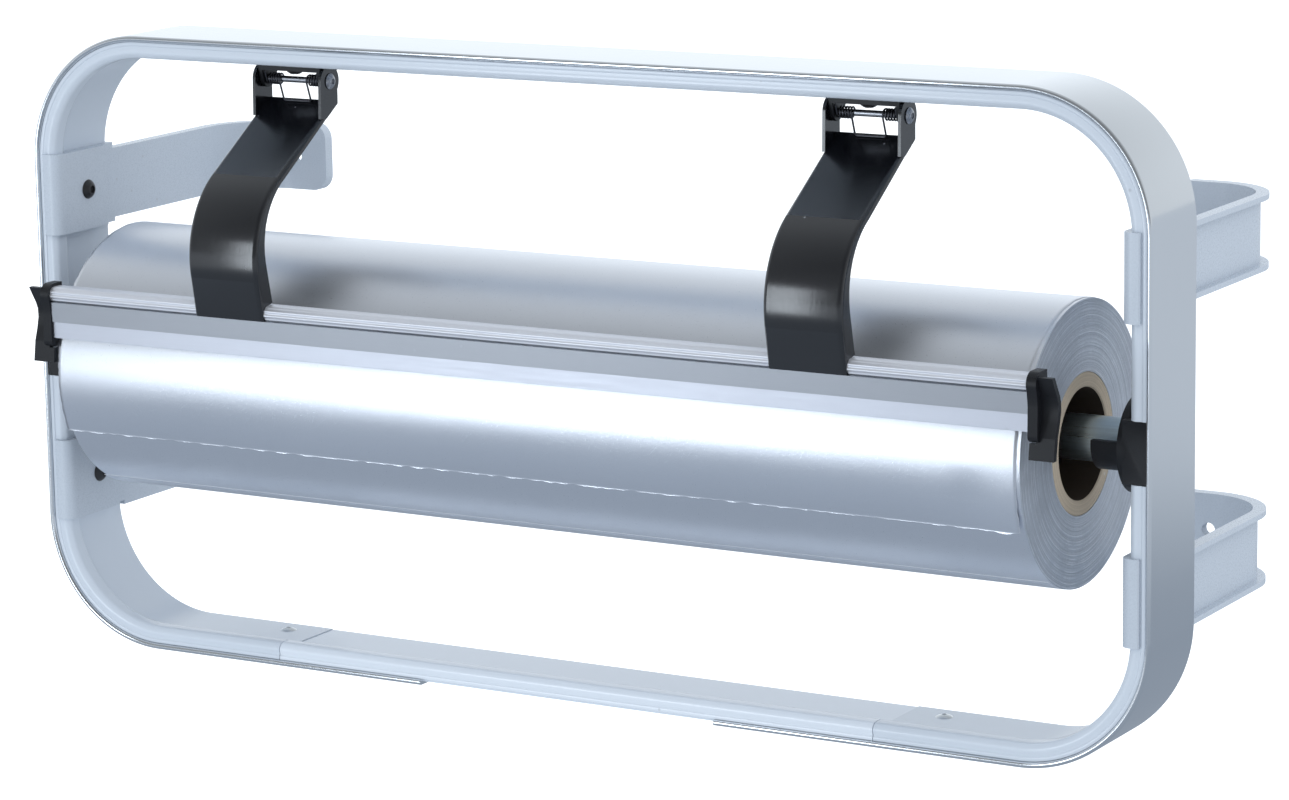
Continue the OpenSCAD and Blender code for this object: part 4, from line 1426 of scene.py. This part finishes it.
@dataclass
class Hinges:
    """Hinge brackets, their bolts, the pins and the double torsion springs."""

    # Middle of the right hinge's pin
    hinge_x: float = 150.5 * MM
    hinge_y: float = PIN_Y
    hinge_z: float = PIN_Z
    # Spring: its wire, the coils' radius, innermost turn, pitch and number in each half
    wire_r: float = 0.45 * MM
    coil_r: float = 2.4 * MM
    coil_in: float = 7.6 * MM
    pitch: float = 1.4 * MM
    coils: float = 5.0
    steps: int = 28
    # Its legs: the outer ones run up, and the middle one down to a bend
    leg_angle: float = math.radians(200)
    leg_up: float = 4.92 * MM
    leg_down: float = 9.93 * MM
    tip_straight: float = 8.33 * MM
    tip_bend: float = 1.2 * MM
    tip_steps: int = 6
    # Rounded edges
    bracket_edge: float = 0.35 * MM
    pin_edge: float = 0.15 * MM
    bolt_edge: float = 0.2 * MM

    def leg_point(self, x: float, along: float) -> Vector:
        """A point of a straight leg, which leaves the coil on a tangent.

        Args:
            x: Place along the pin.
            along: How far down the leg it is. A leg that runs up has it negative.

        Returns:
            The point, about the pin's axis.
        """
        a = self.leg_angle
        depth = self.coil_r * math.cos(a) - along * math.sin(a)
        height = self.coil_r * math.sin(a) + along * math.cos(a)
        return Vector((x, depth, height))

    def coil_point(self, side: int, turn: float) -> Vector:
        """A point of the coils.

        Args:
            side: Which half of the spring: -1 or 1.
            turn: Turns of wire from the outer end.

        Returns:
            The point, about the pin's axis.
        """
        a = self.leg_angle + TURN * turn
        x = side * (self.coil_in + self.pitch * (self.coils - turn))
        return Vector((x, self.coil_r * math.cos(a), self.coil_r * math.sin(a)))

    def wire(self, name: str, paths: list[list[Vector]], place: Vector) -> bpy.types.Object:
        """Draws wire along paths.

        Args:
            name: The piece's name.
            paths: Points of each stretch, about the pin's axis.
            place: A point on that axis.

        Returns:
            The piece.
        """
        curve = bpy.data.curves.new(name, "CURVE")
        curve.dimensions = "3D"
        curve.bevel_depth = self.wire_r
        curve.bevel_resolution = 3
        curve.use_fill_caps = True
        for path in paths:
            spline = curve.splines.new("POLY")
            spline.points.add(len(path) - 1)
            for point, where in zip(spline.points, path):
                point.co = (*(where + place), 1.0)
        drawn = placed(name + "_line", curve)
        seen = drawn.evaluated_get(bpy.context.evaluated_depsgraph_get())
        bm = bmesh.new()
        bm.from_mesh(bpy.data.meshes.new_from_object(seen))
        bpy.data.objects.remove(drawn)
        bmesh.ops.remove_doubles(bm, verts=bm.verts, dist=WELD)
        bmesh.ops.recalc_face_normals(bm, faces=bm.faces)
        return new_object(name, bm, ["spring_wire"], 50.0)

    def spring(self, side_name: str) -> None:
        """Makes one double torsion spring: the coils ride on the arm, the outer legs on the frame.

        Args:
            side_name: The hinge that it belongs to: left or right.
        """
        place = Vector((SIDES[side_name] * self.hinge_x, self.hinge_y, self.hinge_z))
        count = int(self.coils * self.steps)
        split = self.steps // 2
        outer, coils = [], {}
        for side in (-1, 1):
            turns = [self.coil_point(side, i / self.steps) for i in range(count + 1)]
            straight = [self.leg_point(turns[0].x, -self.leg_up * share) for share in (1.0, 0.5)]
            outer.append(straight + turns[:split + 1])
            tip = [self.leg_point(side * self.coil_in, self.leg_down / 2),
                   self.leg_point(side * self.coil_in, self.tip_straight)]
            bend = self.tip_bend
            for i in range(1, self.tip_steps + 1):
                a = math.pi / 2 * i / self.tip_steps
                tip.append(self.leg_point(side * (self.coil_in - bend * (1 - math.cos(a))),
                                          self.leg_down - bend * (1 - math.sin(a))))
            coils[side] = turns[split:] + tip
        middle = coils[-1] + coils[1][::-1]
        wound = self.wire(f"spring_coils_{side_name}", [middle], place)
        settle(wound, Body.CUTTER, "spring_wire", f"torsion_spring_{side_name}")
        legs = self.wire(f"spring_legs_{side_name}", outer, place)
        settle(legs, Body.FRAME, "spring_wire")

    def build(self) -> None:
        """Makes both hinges."""
        for side in SIDES:
            refined(f"hinge_bracket_{side}", Body.FRAME, "black_hinge", self.bracket_edge)
            refined(f"hinge_pin_{side}", Body.FRAME, "pin_steel", self.pin_edge)
            self.spring(side)
        refined("hinge_bolts", Body.FRAME, "black_bolt", self.bolt_edge)


@dataclass
class Cutter:
    """The swinging cutter: arms, screws, ribbed bar, blade and end caps."""

    bar_len: float = BAR_LEN
    # Round head, from the middle of the frame; the angles of its ribs are in degrees
    head: Point = (-60.66 * MM, 29.9 * MM)
    head_r: float = 3.7 * MM
    groove: float = 0.45 * MM
    rib_step: float = 38.0
    rib_count: int = 4
    first_rib: float = 115.0
    # Where the head starts, how far it goes round and how it meets the bar
    head_start: float = 100.0
    head_sweep: float = 136.0
    head_steps: int = 102
    head_back: float = 4.5 * MM
    head_bottom: float = 2.6 * MM
    face_top: Point = (-3.2 * MM, -3.5 * MM)
    back_top: float = 2.5 * MM
    leg_top: float = 6 * MM
    slot_gap: float = 0.05 * MM
    # Blade, the ledge in front of it and the leg behind it
    blade_top: float = 17 * MM
    blade_front: float = -62.76 * MM
    blade_t: float = 1.3 * MM
    ledge: float = 0.6 * MM
    leg_h: float = 2.5 * MM
    leg_t: float = 1.4 * MM
    # Rounded edges
    blade_edge: float = 0.06 * MM
    screw_edge: float = 0.1 * MM
    arm_edge: float = 0.3 * MM
    cap_edge: float = 0.9 * MM

    def bar_section(self) -> list[Point]:
        """Section of the bar: depth from the middle of the frame, and height.

        Returns:
            The section's points: ribbed head, slanted face, leg behind the blade.
        """
        y, z = self.head
        last_rib = self.first_rib + self.rib_step * (self.rib_count - 1)
        points = [(y + self.head_back, z + self.head_r)]
        for i in range(self.head_steps + 1):
            a = self.head_start + self.head_sweep * i / self.head_steps
            ribbed = self.first_rib <= a <= last_rib
            dip = math.sin(math.radians((a - self.first_rib) * 180 / self.rib_step)) ** 2
            radius = self.head_r - (self.groove * dip if ribbed else 0.0)
            points.append((y + radius * math.cos(math.radians(a)),
                           z + radius * math.sin(math.radians(a))))
        front, top, back = self.blade_front, self.blade_top, self.blade_front + self.blade_t
        slot, leg = back + self.slot_gap, back + self.leg_t
        return points + [
            (y + self.face_top[0], z + self.face_top[1]), (front - self.ledge, top), (front, top),
            (slot, top), (slot, top - self.leg_h), (leg, top - self.leg_h),
            (leg, top + self.leg_top), (y + self.head_back, z - self.back_top)]

    def bar(self) -> bpy.types.Object:
        """The extruded bar, whose ribbed head is the same metal painted paler than its face, as a
        painted highlight on the ribs.

        Returns:
            The piece.
        """
        half = self.bar_len / 2
        bm = bmesh.new()
        sweep = Sweep(bm, [(-half, FRAME_Y + y, FRAME_Z + z) for y, z in self.bar_section()])
        sweep.run((2 * half, 0, 0), parts=10)
        sweep.close()
        head_low = FRAME_Z + self.head[1] - self.head_bottom
        # Faces above the head's bottom take the paler copy of the metal, a painted highlight
        for face in bm.faces:
            face.material_index = int(face.calc_center_median().z > head_low)
        return new_object("ribbed_bar", bm, ["bar_aluminium", "bar_head_painted_highlight"], 35.0)

    def build(self) -> None:
        """Makes the cutter's pieces."""
        settle(self.bar(), Body.CUTTER, "bar_aluminium", "cutter_bar")
        refined("tear_blade", Body.CUTTER, "blade_metal", self.blade_edge)
        refined("arm_screws", Body.CUTTER, "screw_steel", self.screw_edge)
        for side in SIDES:
            refined(f"arm_{side}", Body.CUTTER, "black_lacquer", self.arm_edge)
            refined(f"end_cap_{side}", Body.CUTTER, "black_plastic", self.cap_edge, 4)


def main() -> None:
    """Builds the studio and every sub-assembly, in order."""
    logging.basicConfig(level=logging.INFO, format="%(message)s")
    for part in (Studio(), FrameLoop(), WallBrackets(), Spindle(), Roll(), Hinges(), Cutter()):
        log.info("building %s", type(part).__name__)
        part.build()


if __name__ == "__main__":
    main()
